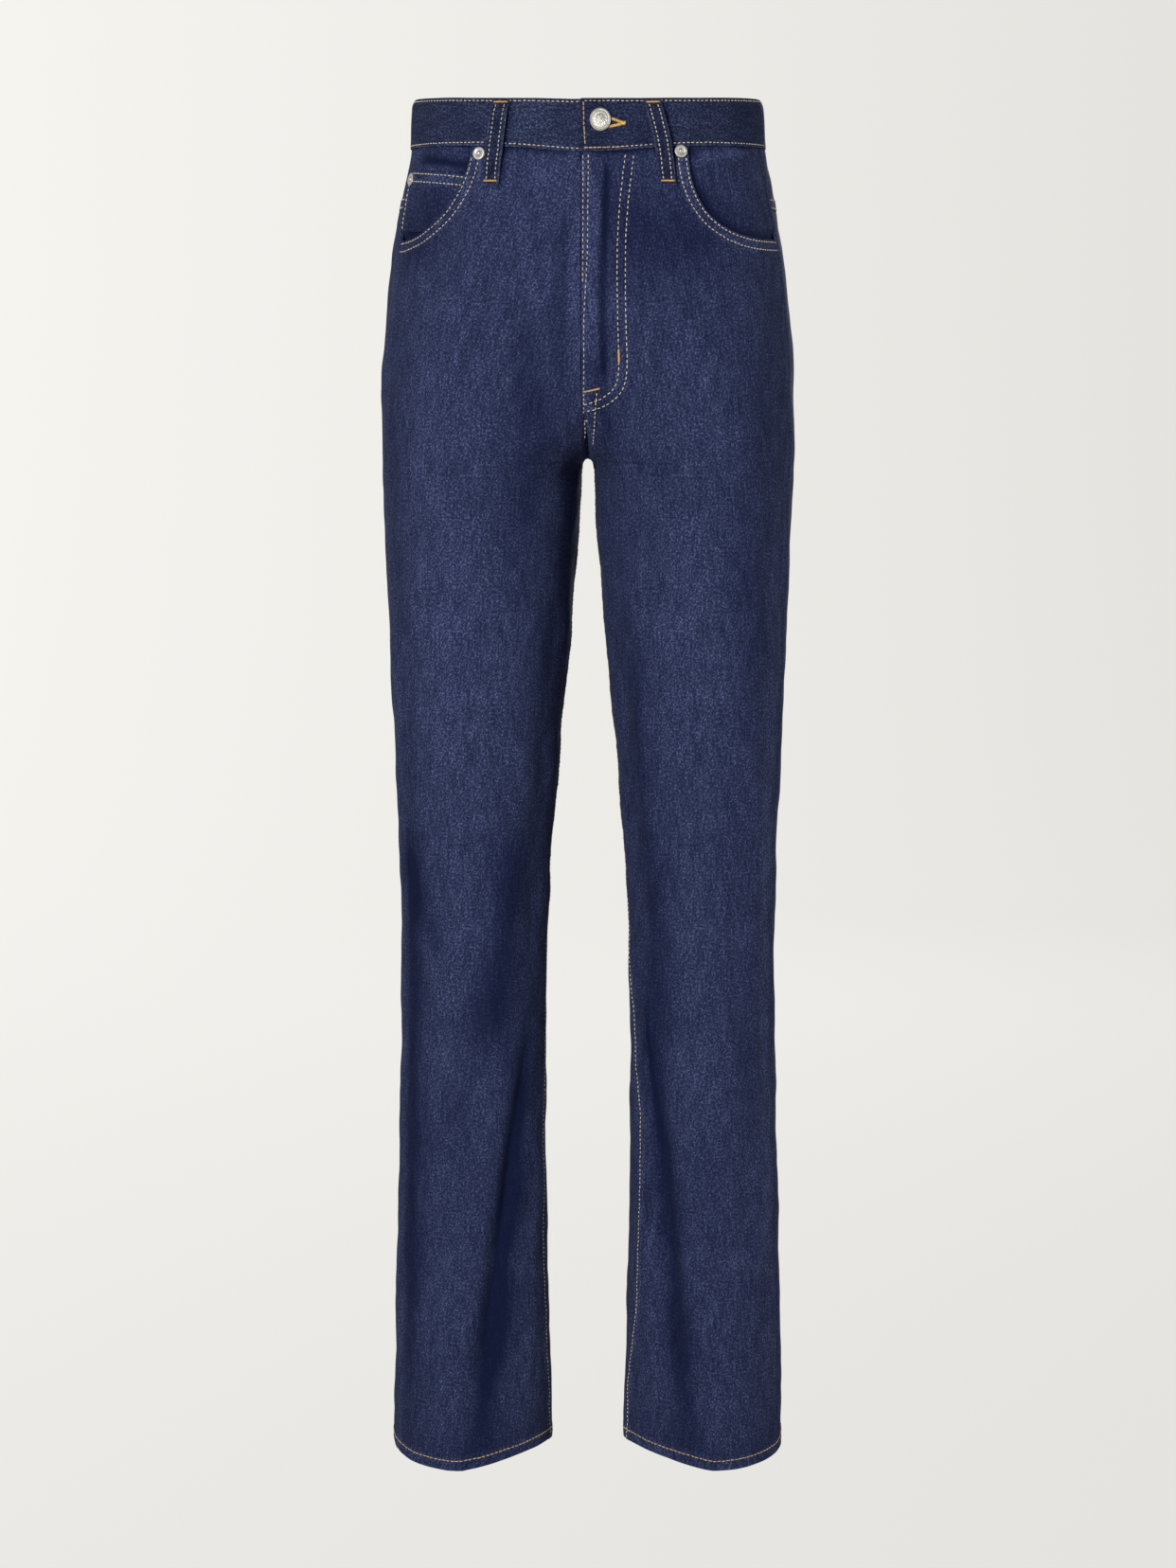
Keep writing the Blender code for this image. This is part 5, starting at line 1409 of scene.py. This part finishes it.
def hem(side):
    """Turned-up hem inside the end of the leg, whose face shows."""
    turn, drop = matched(
        np.linspace(0, 1, 121)[:-1], np.linspace(HEM_DROP - HEM_DEPTH, HEM_DROP - HEM_EDGE, 7)[:, None]
    )
    bare = bare_surface(side, turn, drop)
    normal = surface_normal(side, turn, drop)
    base = -LAYER + fold_lift(side, turn, drop) + wobble(bare)
    outer = moved_out(bare, normal, base)
    inner = moved_out(bare, normal, base - HEM_THICKNESS)
    weave = np.stack([side * travel(bare[0]) + 0 * drop, -drop, 0 * drop], axis=-1)
    name = f"hem_{SIDE_NAME[side]}"
    item = cloth_shell(f"{name}_denim", outer, inner, weave, name, wraps=True)


# ---------------------------------------------------------------- stitches
class Threads:
    """Gathers stitches of one colour into one mesh."""

    def __init__(self, name, material):
        self.name = name
        self.material = material
        self.tubes = []
        self.random = np.random.default_rng(sum(map(ord, name)))

    def sew(self, line, shells, pitch=STITCH_PITCH, share=STITCH_SHARE, radius=THREAD_RADIUS):
        """Stitches along a line, each laid on the shells under it, its ends pulled in."""
        count = max(1, int(round(line.travelled[-1] / pitch)))
        step = line.travelled[-1] / count
        for number in range(count):
            start = (number + 0.5 * (1 - share) + self.random.normal(0, STITCH_SHIFT)) * step
            points, normals = line.at(start + STITCH_SPOTS * share * step)
            aside = np.cross(points[-1] - points[0], normals[2])
            aside = aside / max(np.linalg.norm(aside), 1e-9) * self.random.normal(0, STITCH_STRAY)
            path = laid(points + aside, normals, shells, STITCH_HEIGHTS * radius)
            if path is not None:
                self.tubes.append((path, radius * self.random.uniform(*THREAD_SPREAD)))

    def tack(self, line, shells, width, density=TACK_DENSITY):
        """Bar tack: zigzag threads side by side across a short line."""
        spread = np.linspace(-0.5, 0.5, len(TACK_HEIGHTS))
        count = max(4, int(line.travelled[-1] / density))
        for number in range(count):
            middle = (number + 0.5) / count * line.travelled[-1]
            points, normals = line.at(middle + spread * density * (1 if number % 2 else -1))
            aside = np.cross(line.points[-1] - line.points[0], normals[2])
            aside = aside / np.linalg.norm(aside) * width * self.random.uniform(*TACK_SPREAD)
            path = laid(points + aside * spread[:, None], normals, shells, TACK_HEIGHTS * TACK_RADIUS)
            if path is not None:
                self.tubes.append((path, TACK_RADIUS))

    def finish(self):
        """Make the mesh."""
        points = []
        faces = []
        total = 0
        for path, radius in self.tubes:
            points.append(tube_points(path, radius))
            faces.append(tube_faces(len(path)) + total)
            total += len(points[-1])
        points = np.concatenate(points)
        item = mesh_object(self.name, points, np.concatenate(faces), [self.material], sharp_angle=180)
        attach(item, "root")


def laid(points, normals, shells, heights):
    """Path at these heights over the outermost shells, or None where one point misses them."""
    spots = [settle(point, normal, shells) for point, normal in zip(points, normals)]
    return None if any(spot is None for spot in spots) else np.array(spots) + normals * heights[:, None]


def settle(point, normal, shells):
    """The place right under or over a point on the outermost of these shells."""
    origin = Vector(point + normal * SETTLE_REACH)
    hits = [SHELLS[name].ray_cast(origin, Vector(-normal), 2 * SETTLE_REACH) for name in shells]
    hits = [hit for hit in hits if hit[0] is not None]
    return np.array(min(hits, key=lambda hit: hit[3])[0]) if hits else None


def tube_points(path, radius):
    """Points of a thread with pinched ends."""
    along = np.gradient(path, axis=0)
    along = along / np.maximum(np.linalg.norm(along, axis=1, keepdims=True), 1e-12)
    first = np.cross(along, (0.267, 0.535, 0.802))
    first = first / np.linalg.norm(first, axis=1, keepdims=True)
    second = np.cross(along, first)
    widths = np.full((len(path), 1, 1), radius)
    widths[[0, -1]] = THREAD_PINCH * radius
    angles = (2 * math.pi * np.arange(THREAD_SIDES) / THREAD_SIDES)[:, None]
    ring = first[:, None] * np.cos(angles) + second[:, None] * np.sin(angles)
    return (path[:, None] + ring * widths).reshape(-1, 3)


def tube_faces(count):
    """Quads of a thread through so many places, its six-sided ends closed with two quads each."""
    last = (count - 1) * THREAD_SIDES
    start = np.array([[0, 1, 2, 3], [0, 3, 4, 5]])
    return np.concatenate([ring_quads(0, count, THREAD_SIDES)[:, [0, 3, 2, 1]], start, start[:, ::-1] + last])


def ring_quads(first, rings, segments):
    """Quads between rings of points that are numbered one after another."""
    step = np.arange(segments)
    after = (step + 1) % segments
    low = first + segments * np.arange(rings - 1)[:, None]
    high = low + segments
    return np.stack([low + step, low + after, high + after, high + step], axis=-1).reshape(-1, 4)


def sew_everything():
    """All rows of stitches and bar tacks."""
    ecru = Threads("stitches_ecru", THREAD_ECRU)
    gold = Threads("stitches_gold", THREAD_GOLD)
    orange = Threads("bar_tacks_orange", THREAD_ORANGE)
    sew_band(ecru, gold)
    sew_loops(ecru, orange)
    sew_fly(ecru, orange)
    for side in SIDES:
        sew_side(side, ecru, gold, orange)
    seat = centre_back_line().part(1 * MM, -2 * MM)
    for distance in (EDGE_STITCH, SECOND_STITCH):
        ecru.sew(seat.offset(distance), ["back_left_denim", "yoke_left_denim"])
    ochre = Threads("buttonhole_ochre", THREAD_OCHRE)
    sew_buttonhole(ochre)
    for threads in (ochre, ecru, gold, orange):
        threads.finish()


def band_line(start, end, height):
    """Line round the waistband at a drop given by a function of side and turn."""
    path = np.linspace(start, end, int(abs(end - start) * 320) + 2)
    turn, is_left = waist_place(path)
    drop = np.where(is_left[:, 0], height(LEFT, turn), height(RIGHT, turn))
    points, normals, _ = round_waist(path, drop, 0)
    return Line(points, normals)


def sew_band(ecru, gold):
    """Rows near the waistband's edges and down its lapped end."""
    lap = -float(turn_at_x(RIGHT, -BAND_LAP_X, BAND_HEIGHT))
    shells = ["waistband_denim"]

    def low_row(side, turn):
        """Just above the lower edge."""
        return band_bottom(side, turn) - BAND_BOTTOM_STITCH

    def high_row(side, turn):
        """Just under the top edge."""
        return band_top(turn) + BAND_STITCH

    for row, gold_end, gold_thread in ((low_row, GOLD_END_LOW, BAND_CHAIN), (high_row, GOLD_END_HIGH, ())):
        gold.sew(band_line(lap + 0.012, gold_end, row), shells, *gold_thread)
        ecru.sew(band_line(gold_end, 2 + lap - 0.006, row), shells)
    gold.sew(front_line(LAP_END_LINE), shells, *LAP_CHAIN)


def sew_loops(ecru, orange):
    """Two rows down each belt loop and a tack across both ends."""
    for loop in LOOPS:
        shells = [f"belt_loop_{loop['name']}_denim"]
        top = loop_top(loop)
        for offset in (LOOP_STITCH - LOOP_WIDTH / 2, LOOP_WIDTH / 2 - LOOP_STITCH):
            ecru.sew(loop_line(loop, offset, top + 3.4 * MM, 64 * MM), shells, LOOP_PITCH)
        for drop in (top + 2.0 * MM, 64.8 * MM):
            middle = loop_x(loop, (drop - top) / (LOOP_BOTTOM_DROP - top), False)
            row = x_line(middle + np.linspace(-4.6, 4.6, 12) * MM, drop, loop["is_back"])
            orange.tack(row, shells, LOOP_TACK_WIDTH)


def sew_fly(ecru, orange):
    """The J, the fly's two edge rows, its tacks and the rise below."""
    shells = ["front_left_denim"]
    both = ["front_left_denim", "front_right_denim"]
    inner = front_line(J_INNER, 120)
    for row in (inner, inner.offset(-J_WIDTH)):
        ecru.sew(row.part(0.5 * MM, -0.1 * MM), both, FLY_PITCH)
    for spots in (FLY_EDGE_LINE, SECOND_FLY_LINE):
        ecru.sew(front_line(spots), shells, FLY_PITCH, FLY_SHARE, FLY_THREAD_RADIUS)
    for spots, width in FLY_TACKS:
        orange.tack(front_line(spots), shells, width * MM)
    for spots in CROTCH_ROWS:
        ecru.sew(front_line(spots), both, FLY_PITCH)


def sew_side(side, ecru, gold, orange):
    """Rows on one side: pocket mouth, coin pocket, inseam, hem, yoke and back pocket."""
    word = SIDE_NAME[side]
    front = [f"front_{word}_denim"]
    pocket = [f"back_pocket_{word}_denim"]
    both_rows = (EDGE_STITCH, SECOND_STITCH)
    mouth = mouth_line(side)
    for distance in both_rows:
        ecru.sew(mouth.offset(side * distance).part(9 * MM, -0.5 * MM), front)
    if side == RIGHT:
        edge = coin_edge_line()
        for distance in both_rows:
            ecru.sew(edge.offset(-distance).part(9 * MM, -7 * MM), ["coin_pocket_denim"])
        coin_side = surface_line(RIGHT, COIN_SIDE_TURN, np.linspace(65 * MM, 99 * MM, 30))
        ecru.sew(coin_side, ["coin_pocket_denim"])
    ecru.sew(inseam_line(side).offset(-side * INSEAM_STITCH).part(1 * MM, -1.5 * MM), front)
    hem_shells = [f"front_{word}_denim", f"back_{word}_denim"]
    gold.sew(hem_line(side).offset(-side * HEM_STITCH), hem_shells, *HEM_CHAIN)
    seam = yoke_line(side)
    for distance in both_rows:
        ecru.sew(seam.offset(-side * distance).part(5 * MM, -0.1 * MM), [f"yoke_{word}_denim"])
    outline = back_pocket_outline(side)
    for distance in both_rows:
        ecru.sew(outline.offset(side * distance), pocket)
    top = back_pocket_top(side)
    for distance in POCKET_HEM_ROWS:
        ecru.sew(top.offset(-side * distance).part(2 * MM, -2 * MM), pocket)
    for start in POCKET_TACK_STARTS:
        tack = top.offset(-side * 1.6 * MM).part(start, start + POCKET_TACK_LENGTH)
        orange.tack(tack, pocket, POCKET_TACK_WIDTH)


def sew_buttonhole(ochre):
    """Keyhole buttonhole: two dense rows that meet in a tacked tip."""
    shells = ["waistband_denim"]
    tip_x, tip_drop = HOLE_TIP
    for start_drop in HOLE_DROPS:
        middle = (0.5 * (HOLE_START_X + tip_x), 0.42 * start_drop + 0.58 * tip_drop)
        row = front_line([(HOLE_START_X - 5, start_drop), middle, HOLE_TIP], 30)
        ochre.tack(row, shells, HOLE_ROW_WIDTH, HOLE_DENSITY)
    ochre.tack(front_line([(tip_x + step, tip_drop) for step in (-1.2, 0, 1.2)], 12), shells, HOLE_TIP_WIDTH)


# ---------------------------------------------------------------- metal
def turned(name, node, base, axis, profile, segments, relief=None, narrow=1.0):
    """A turned body of silver: (radius, height) pairs round an axis, closed on the axis at both ends."""
    axis = np.asarray(axis, float)
    first = np.cross(axis, (0, 0, 1))
    first = first / np.linalg.norm(first)
    second = np.cross(axis, first)
    radii, heights = np.array(profile).T
    step = np.arange(segments)
    angles = 2 * math.pi * step / segments
    radii = radii[1:-1, None]
    rings = heights[1:-1, None] + (relief(radii, angles) if relief else 0 * angles)
    spokes = first * narrow * np.cos(angles)[:, None] + second * np.sin(angles)[:, None]
    rings = base + axis * rings[..., None] + spokes * radii[..., None]
    ends = base + axis * heights[[0, -1], None]
    points = np.concatenate([ends[:1], rings.reshape(-1, 3), ends[1:]])
    after = (step + 1) % segments
    last = len(points) - 1 - segments
    low_fan = np.stack([0 * step, 1 + after, 1 + step], axis=-1)
    high_fan = np.stack([last + step, last + after, 0 * step + len(points) - 1], axis=-1)
    quads = ring_quads(1, len(radii), segments)
    faces = low_fan.tolist() + quads.tolist() + high_fan.tolist()
    item = mesh_object(name, points, faces, [SILVER], sharp_angle=60)
    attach(item, "root")
    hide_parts(node)


def rounded_face(spots, steps):
    """More (radius, height) pairs between the named ones, rounded a little."""
    spots = np.array(spots)
    where = np.linspace(0, len(spots) - 1, steps)
    index = np.minimum(where.astype(int), len(spots) - 2)
    share = 0.5 * (smooth(where - index) + where - index)[:, None]
    return (spots[index] + (spots[index + 1] - spots[index]) * share).tolist()


def waist_button():
    """Domed shank button with a raised rim, a beaded ring and a worn centre."""
    turn = turn_at_x(LEFT, BUTTON_X, BUTTON_DROP)
    normal = surface_normal(LEFT, turn, BUTTON_DROP)
    point = bare_surface(LEFT, turn, BUTTON_DROP) + normal * (BAND_LIFT + fold_lift(LEFT, turn, BUTTON_DROP))
    shank_end = SEAM_GAP - BAND_STEP
    profile = [
        (0.0, shank_end),
        (BUTTON_SHANK_RADIUS, shank_end),
        (BUTTON_SHANK_RADIUS, 1.0 * MM),
        (BUTTON_RADIUS - 1.2 * MM, 1.1 * MM),
        (BUTTON_RADIUS - 0.3 * MM, 1.5 * MM),
        (BUTTON_RADIUS, 2.0 * MM),
        (BUTTON_RADIUS - 0.05 * MM, 2.5 * MM),
        *rounded_face([
            (BUTTON_RADIUS - 0.35 * MM, 2.9 * MM),
            (BUTTON_RADIUS - 0.9 * MM, 3.25 * MM),
            (BUTTON_RADIUS - 1.5 * MM, 2.75 * MM),
            (BUTTON_RADIUS - 2.0 * MM, 2.7 * MM),
            (BUTTON_RADIUS - 3.2 * MM, 3.3 * MM),
            (BUTTON_RADIUS - 4.6 * MM, 3.45 * MM),
            (0.28 * BUTTON_RADIUS, 3.9 * MM),
            (0.12 * BUTTON_RADIUS, 4.05 * MM),
        ], 44),
        (0.0, 4.1 * MM),
    ]

    def relief(radius, angle):
        """A ring of small beads, a ring of leaf-like rays inside it and a worn centre."""
        beads = np.abs(np.cos(15 * angle)) * bell(radius - 5.9 * MM, 0.5 * MM)
        rays = np.cos(11 * angle + radius / (0.5 * MM)) * bell(radius - 3.6 * MM, 1.3 * MM)
        core = np.cos(5 * angle) * bell(radius - 1.4 * MM, 0.7 * MM)
        return 0.26 * MM * beads + 0.15 * MM * rays + 0.18 * MM * core

    turned("waist_button_silver", "waist_button", point, normal, profile, 120, relief, BUTTON_NARROW)


def rivet(name, side, turn, drop, lift):
    """Round cap with a raised nub in a dished ring."""
    normal = surface_normal(side, turn, drop)
    radius = RIVET_RADIUS
    profile = [
        (0.0, 0.0),
        (0.95 * radius, 0.0),
        (radius, 0.3 * MM),
        *rounded_face([
            (0.99 * radius, 0.75 * MM),
            (0.88 * radius, 1.15 * MM),
            (0.70 * radius, 1.25 * MM),
            (0.52 * radius, 0.95 * MM),
            (0.42 * radius, 0.75 * MM),
            (0.34 * radius, 1.1 * MM),
            (0.27 * radius, 1.85 * MM),
            (0.14 * radius, 2.15 * MM),
        ], 30),
        (0.0, 2.2 * MM),
    ]
    base = bare_surface(side, turn, drop) + normal * (lift + SEAM_GAP)
    turned(f"rivet_{name}_silver", f"rivet_{name}", base, normal, profile, 56)


def rivets():
    """Caps at the top of each pocket mouth and on the coin pocket's outer corner."""
    for name, side, x, drop in RIVETS:
        rivet(name, side, turn_at_x(side, x * MM, drop * MM), drop * MM, RIVET_LIFT)
    lift = facing_lift(RIGHT, COIN_RIVET_TURN, COIN_RIVET_DROP) + LAYER
    rivet("coin_pocket", RIGHT, COIN_RIVET_TURN, COIN_RIVET_DROP, lift)


# ---------------------------------------------------------------- materials
class Nodes:
    """Short way to add and join shader nodes."""

    def __init__(self, name):
        self.material = bpy.data.materials.new(name)
        self.material.use_nodes = True
        self.tree = self.material.node_tree

    def join(self, value, socket):
        """Link a socket or set a plain value."""
        if isinstance(value, bpy.types.NodeSocket):
            self.tree.links.new(value, socket)
        else:
            socket.default_value = value

    def node(self, kind, inputs, **settings):
        """First output of a new node. Its inputs are given by name or number."""
        made = self.tree.nodes.new(kind)
        for key, value in settings.items():
            setattr(made, key, value)
        for key, value in inputs.items():
            self.join(value, made.inputs[key])
        return made.outputs[0]

    def math(self, operation, *values):
        """Result of a Math node."""
        return self.node("ShaderNodeMath", dict(enumerate(values)), operation=operation)

    def product(self, *values):
        """All these values multiplied."""
        result = values[0]
        for value in values[1:]:
            result = self.math("MULTIPLY", result, value)
        return result

    def attribute(self, name, output):
        """A value that goes with the mesh's points."""
        return self.node("ShaderNodeAttribute", {}, attribute_name=name).node.outputs[output]

    def place(self):
        """Position in the object's own coordinates."""
        return self.node("ShaderNodeTexCoord", {}).node.outputs["Object"]

    def split(self, vector):
        """The three parts of a vector."""
        return self.node("ShaderNodeSeparateXYZ", {0: vector}).node.outputs

    def scaled(self, vector, factors):
        """Vector stretched by a factor along each axis."""
        return self.node("ShaderNodeVectorMath", {0: vector, 1: factors}, operation="MULTIPLY")

    def noise(self, vector, factors, detail):
        """Noise from 0 to 1 in a stretched space."""
        inputs = {"Vector": self.scaled(vector, factors), "Scale": 1.0, "Detail": detail, "Roughness": 0.5}
        return self.node("ShaderNodeTexNoise", inputs)

    def ramp(self, value, low, high, out_low=0.0, out_high=1.0):
        """Linear map of a value, held at its ends."""
        inputs = {0: value, 1: low, 2: high, 3: out_low, 4: out_high}
        return self.node("ShaderNodeMapRange", inputs, clamp=True)

    def mix(self, share, first, second, blend="MIX"):
        """Colour between two colours."""
        inputs = {0: share, 6: first, 7: second}
        return self.node("ShaderNodeMix", inputs, data_type="RGBA", blend_type=blend).node.outputs[2]

    def bump(self, height, strength, distance):
        """Surface direction from a height."""
        return self.node("ShaderNodeBump", {"Height": height, "Strength": strength, "Distance": distance})

    def finish(self, inputs):
        """The material, its shader's inputs set."""
        for name, value in inputs.items():
            self.join(value, self.tree.nodes["Principled BSDF"].inputs[name])
        return self.material


WALE_WIDTH = 2.4 * MM
WALE_HEIGHT = 5.5 * MM
# Name, repeats per metre, detail, and how a range of the noise scales the pale part
WEAVE_NOISES = (
    ("speck", (930, 880, 1), 0.0, 0.42, 0.66, 0.55, 1.85),
    ("grit", (560, 480, 1), 1.0, 0.42, 0.66, 0.6, 1.68),
    ("slub", (640, 60, 1), 2.0, 0.3, 0.7, 0.6, 1.4),
    ("patch", (120, 42, 1), 3.0, 0.3, 0.7, 0.72, 1.28),
    ("cloud", (22, 9, 1), 2.0, 0.3, 0.7, 0.86, 1.14),
)


def denim(name, dark, pale, pale_share):
    """Twill of indigo warp over pale weft, in the cloth's own coordinates."""
    n = Nodes(name)
    cloth = n.attribute("cloth", "Vector")
    across, along, _ = n.split(cloth)
    waver = n.noise(cloth, (260, 160, 1), 1.0)
    phase = n.math("MULTIPLY", across, 2 * math.pi / WALE_WIDTH)
    phase = n.math("MULTIPLY_ADD", along, -2 * math.pi / WALE_HEIGHT, phase)
    phase = n.math("MULTIPLY_ADD", waver, 3.0, phase)
    wale = n.math("MULTIPLY_ADD", n.math("SINE", phase), 0.5, 0.5)

    noises = {key: n.noise(cloth, factors, detail) for key, factors, detail, *_ in WEAVE_NOISES}
    # The pale share follows the weave's noises and the per-point paleness, which holds worn relief plus
    # painted shade and painted highlight
    pale_part = n.product(
        n.ramp(wale, 0.1, 0.9, 0.84, 1.16),
        *(n.ramp(noises[key], *ends) for key, _, _, *ends in WEAVE_NOISES),
        pale_share,
        n.ramp(n.attribute("wear_and_shade", "Fac"), -2.3, 2.0, 0.08, 1.8),
    )
    height = n.math("MULTIPLY_ADD", noises["speck"], 0.9, n.math("MULTIPLY", wale, 0.8))
    height = n.math("MULTIPLY_ADD", noises["slub"], 0.9, height)
    return n.finish({
        "Base Color": n.mix(pale_part, (*dark, 1), (*pale, 1)),
        "Normal": n.bump(height, 0.6, 0.11 * MM),
        "Roughness": 0.85,
        "Specular IOR Level": 0.03,
        "Sheen Weight": 0.02,
        "Sheen Roughness": 0.45,
        "Sheen Tint": (0.55, 0.62, 0.9, 1),
    })


def thread(name, colour):
    """Spun sewing thread: two twisted plies, slightly uneven in colour."""
    n = Nodes(name)
    twist = n.noise(n.place(), (900, 900, 900), 2.0)
    shade = n.ramp(twist, 0.3, 0.7, 0.72, 1.22)
    grey = n.node("ShaderNodeCombineColor", {0: shade, 1: shade, 2: shade})
    return n.finish({
        "Base Color": n.mix(1.0, (*colour, 1), grey, "MULTIPLY"),
        "Normal": n.bump(twist, 0.5, 0.15 * MM),
        "Roughness": 0.6,
        "Specular IOR Level": 0.3,
        "Sheen Weight": 0.1,
    })


def silver(name):
    """Worn silver plating: soft scratches and duller patches at random."""
    n = Nodes(name)
    place = n.place()
    blotch = n.noise(place, (800, 800, 800), 2.0)
    return n.finish({
        "Base Color": n.mix(n.ramp(blotch, 0.35, 0.65), (0.36, 0.355, 0.33, 1), (0.50, 0.49, 0.465, 1)),
        "Roughness": n.ramp(blotch, 0.3, 0.7, 0.6, 0.46),
        "Normal": n.bump(n.noise(place, (1400, 1400, 1400), 3.0), 0.25, 0.1 * MM),
        "Metallic": 1.0,
    })


def tape(name):
    """Woven zip tape."""
    n = Nodes(name)
    inputs = {"Vector": n.scaled(n.attribute("cloth", "Vector"), (1, 420, 1)), "Scale": 1.0}
    rib = n.node("ShaderNodeTexWave", inputs, bands_direction="Y").node.outputs[1]
    return n.finish({
        "Base Color": n.mix(n.ramp(rib, 0.2, 0.9), (0.018, 0.02, 0.04, 1), (0.045, 0.05, 0.09, 1)),
        "Normal": n.bump(rib, 0.4, 0.15 * MM),
        "Roughness": 0.8,
    })


def studio_white(name):
    """Seamless backdrop with a painted glow of its own, brighter to the left and above the floor."""
    n = Nodes(name)
    x, y, _ = n.split(n.place())
    low = n.ramp(y, 0.4, 4.0, 0.93, 1.0)
    glow = n.mix(n.ramp(x, -1.8, 1.8, 1.0, 0.0), (0.755, 0.750, 0.717, 1), (0.925, 0.912, 0.872, 1))
    return n.finish({
        "Base Color": (0.03, 0.03, 0.03, 1),
        "Roughness": 1.0,
        "Specular IOR Level": 0.0,
        "Emission Color": n.scaled(glow, n.node("ShaderNodeCombineXYZ", {0: low, 1: low, 2: low})),
        "Emission Strength": 1.0,
    })


DENIM = denim("raw_denim", (0.0055, 0.0090, 0.036), (0.130, 0.158, 0.330), 0.225)
# A darker copy of the denim for the waistband and belt loops: painted shade standing in for the band's duller
# cross-grain sheen
DENIM_BAND_SHADED = denim("raw_denim_band_shaded", (0.0048, 0.0076, 0.029), (0.120, 0.146, 0.280), 0.166)
DENIM_REVERSE = denim("raw_denim_reverse", (0.05, 0.06, 0.12), (0.34, 0.37, 0.44), 1.1)
THREAD_ECRU = thread("thread_ecru", (0.84, 0.70, 0.48))
THREAD_GOLD = thread("thread_gold", (0.72, 0.50, 0.22))
THREAD_ORANGE = thread("thread_orange", (0.74, 0.42, 0.12))
THREAD_OCHRE = thread("thread_ochre", (0.80, 0.50, 0.13))
SILVER = silver("worn_silver")
ZIP_TAPE = tape("zip_tape_weave")


# ---------------------------------------------------------------- studio
CAMERA_PLACE = (0.0, -2.5, -0.15)
CAMERA_PITCH = math.radians(8.4685)
CAMERA_LENS = 74.704
FLOOR_Z = -1.34
STUDIO_RADIUS = 6.0
STUDIO_HEIGHT = 6.0
STUDIO_BEND = 1.8
STUDIO_SEGMENTS = 64
LIGHT_TARGET = (0, 0, -0.5)
# Name, place, size and watts
AREA_LIGHTS = (
    ("key", (-1.15, -3.15, 0.25), (0.8, 1.3), 91),
    ("fill", (2.5, -0.9, -0.1), (0.9, 1.6), 16),
    ("back", (0.7, 3.3, 0.4), (1.0, 1.6), 70),
)


def camera():
    """Camera at the photograph's angle."""
    data = bpy.data.cameras.new("camera")
    data.lens = CAMERA_LENS
    data.sensor_width = 36
    data.sensor_fit = "AUTO"
    item = new_object("camera", data)
    item.location = CAMERA_PLACE
    item.rotation_euler = (0.5 * math.pi - CAMERA_PITCH, 0, 0)
    bpy.context.scene.camera = item


def studio():
    """Round pale floor that curves up into a wall all round. Its painted glow doesn't light the cloth."""
    bend = 0.5 * math.pi * np.arange(13) / 12
    radii = np.append(STUDIO_RADIUS - STUDIO_BEND * (1 - np.sin(bend)), STUDIO_RADIUS)[:, None]
    heights = np.append(FLOOR_Z + STUDIO_BEND * (1 - np.cos(bend)), STUDIO_HEIGHT)[:, None]
    step = np.arange(STUDIO_SEGMENTS)
    angle = 2 * math.pi * step / STUDIO_SEGMENTS
    rings = np.stack([radii * np.cos(angle), radii * np.sin(angle), heights + 0 * angle], axis=-1)
    points = np.concatenate([[(0, 0, FLOOR_Z)], rings.reshape(-1, 3)])
    fan = np.stack([0 * step, 1 + step, 1 + (step + 1) % STUDIO_SEGMENTS], axis=-1)
    quads = ring_quads(1, len(radii), STUDIO_SEGMENTS)[:, [0, 3, 2, 1]]
    material = studio_white("studio_white")
    item = mesh_object("studio_floor", points, fan.tolist() + quads.tolist(), [material], sharp_angle=180)
    item.visible_diffuse = False


def area_light(name, place, size, power):
    """Soft rectangular light aimed at the middle of the garment."""
    data = bpy.data.lights.new(name, "AREA")
    data.shape = "RECTANGLE"
    data.size, data.size_y = size
    data.energy = power
    item = new_object(name, data)
    item.location = place
    item.rotation_euler = (Vector(LIGHT_TARGET) - Vector(place)).to_track_quat("-Z", "Y").to_euler()


def lights():
    """Large soft key from the camera's upper left, weaker fill, a light behind, pale surroundings."""
    for row in AREA_LIGHTS:
        area_light(*row)
    world = bpy.data.worlds.new("studio")
    world.use_nodes = True
    background = world.node_tree.nodes["Background"]
    background.inputs["Color"].default_value = (0.9, 0.95, 1.1, 1)
    background.inputs["Strength"].default_value = 0.1
    bpy.context.scene.world = world


def build():
    """Everything in the scene."""
    camera()
    for side in SIDES:
        front_panel(side)
        back_panel(side)
        yoke(side)
        pocket_facing(side)
        back_pocket(side)
        hem(side)
    coin_pocket()
    fly_pieces()
    waistband()
    belt_loops()
    sew_everything()
    waist_button()
    rivets()
    studio()
    lights()
    bpy.context.scene.view_settings.view_transform = "Standard"


build()
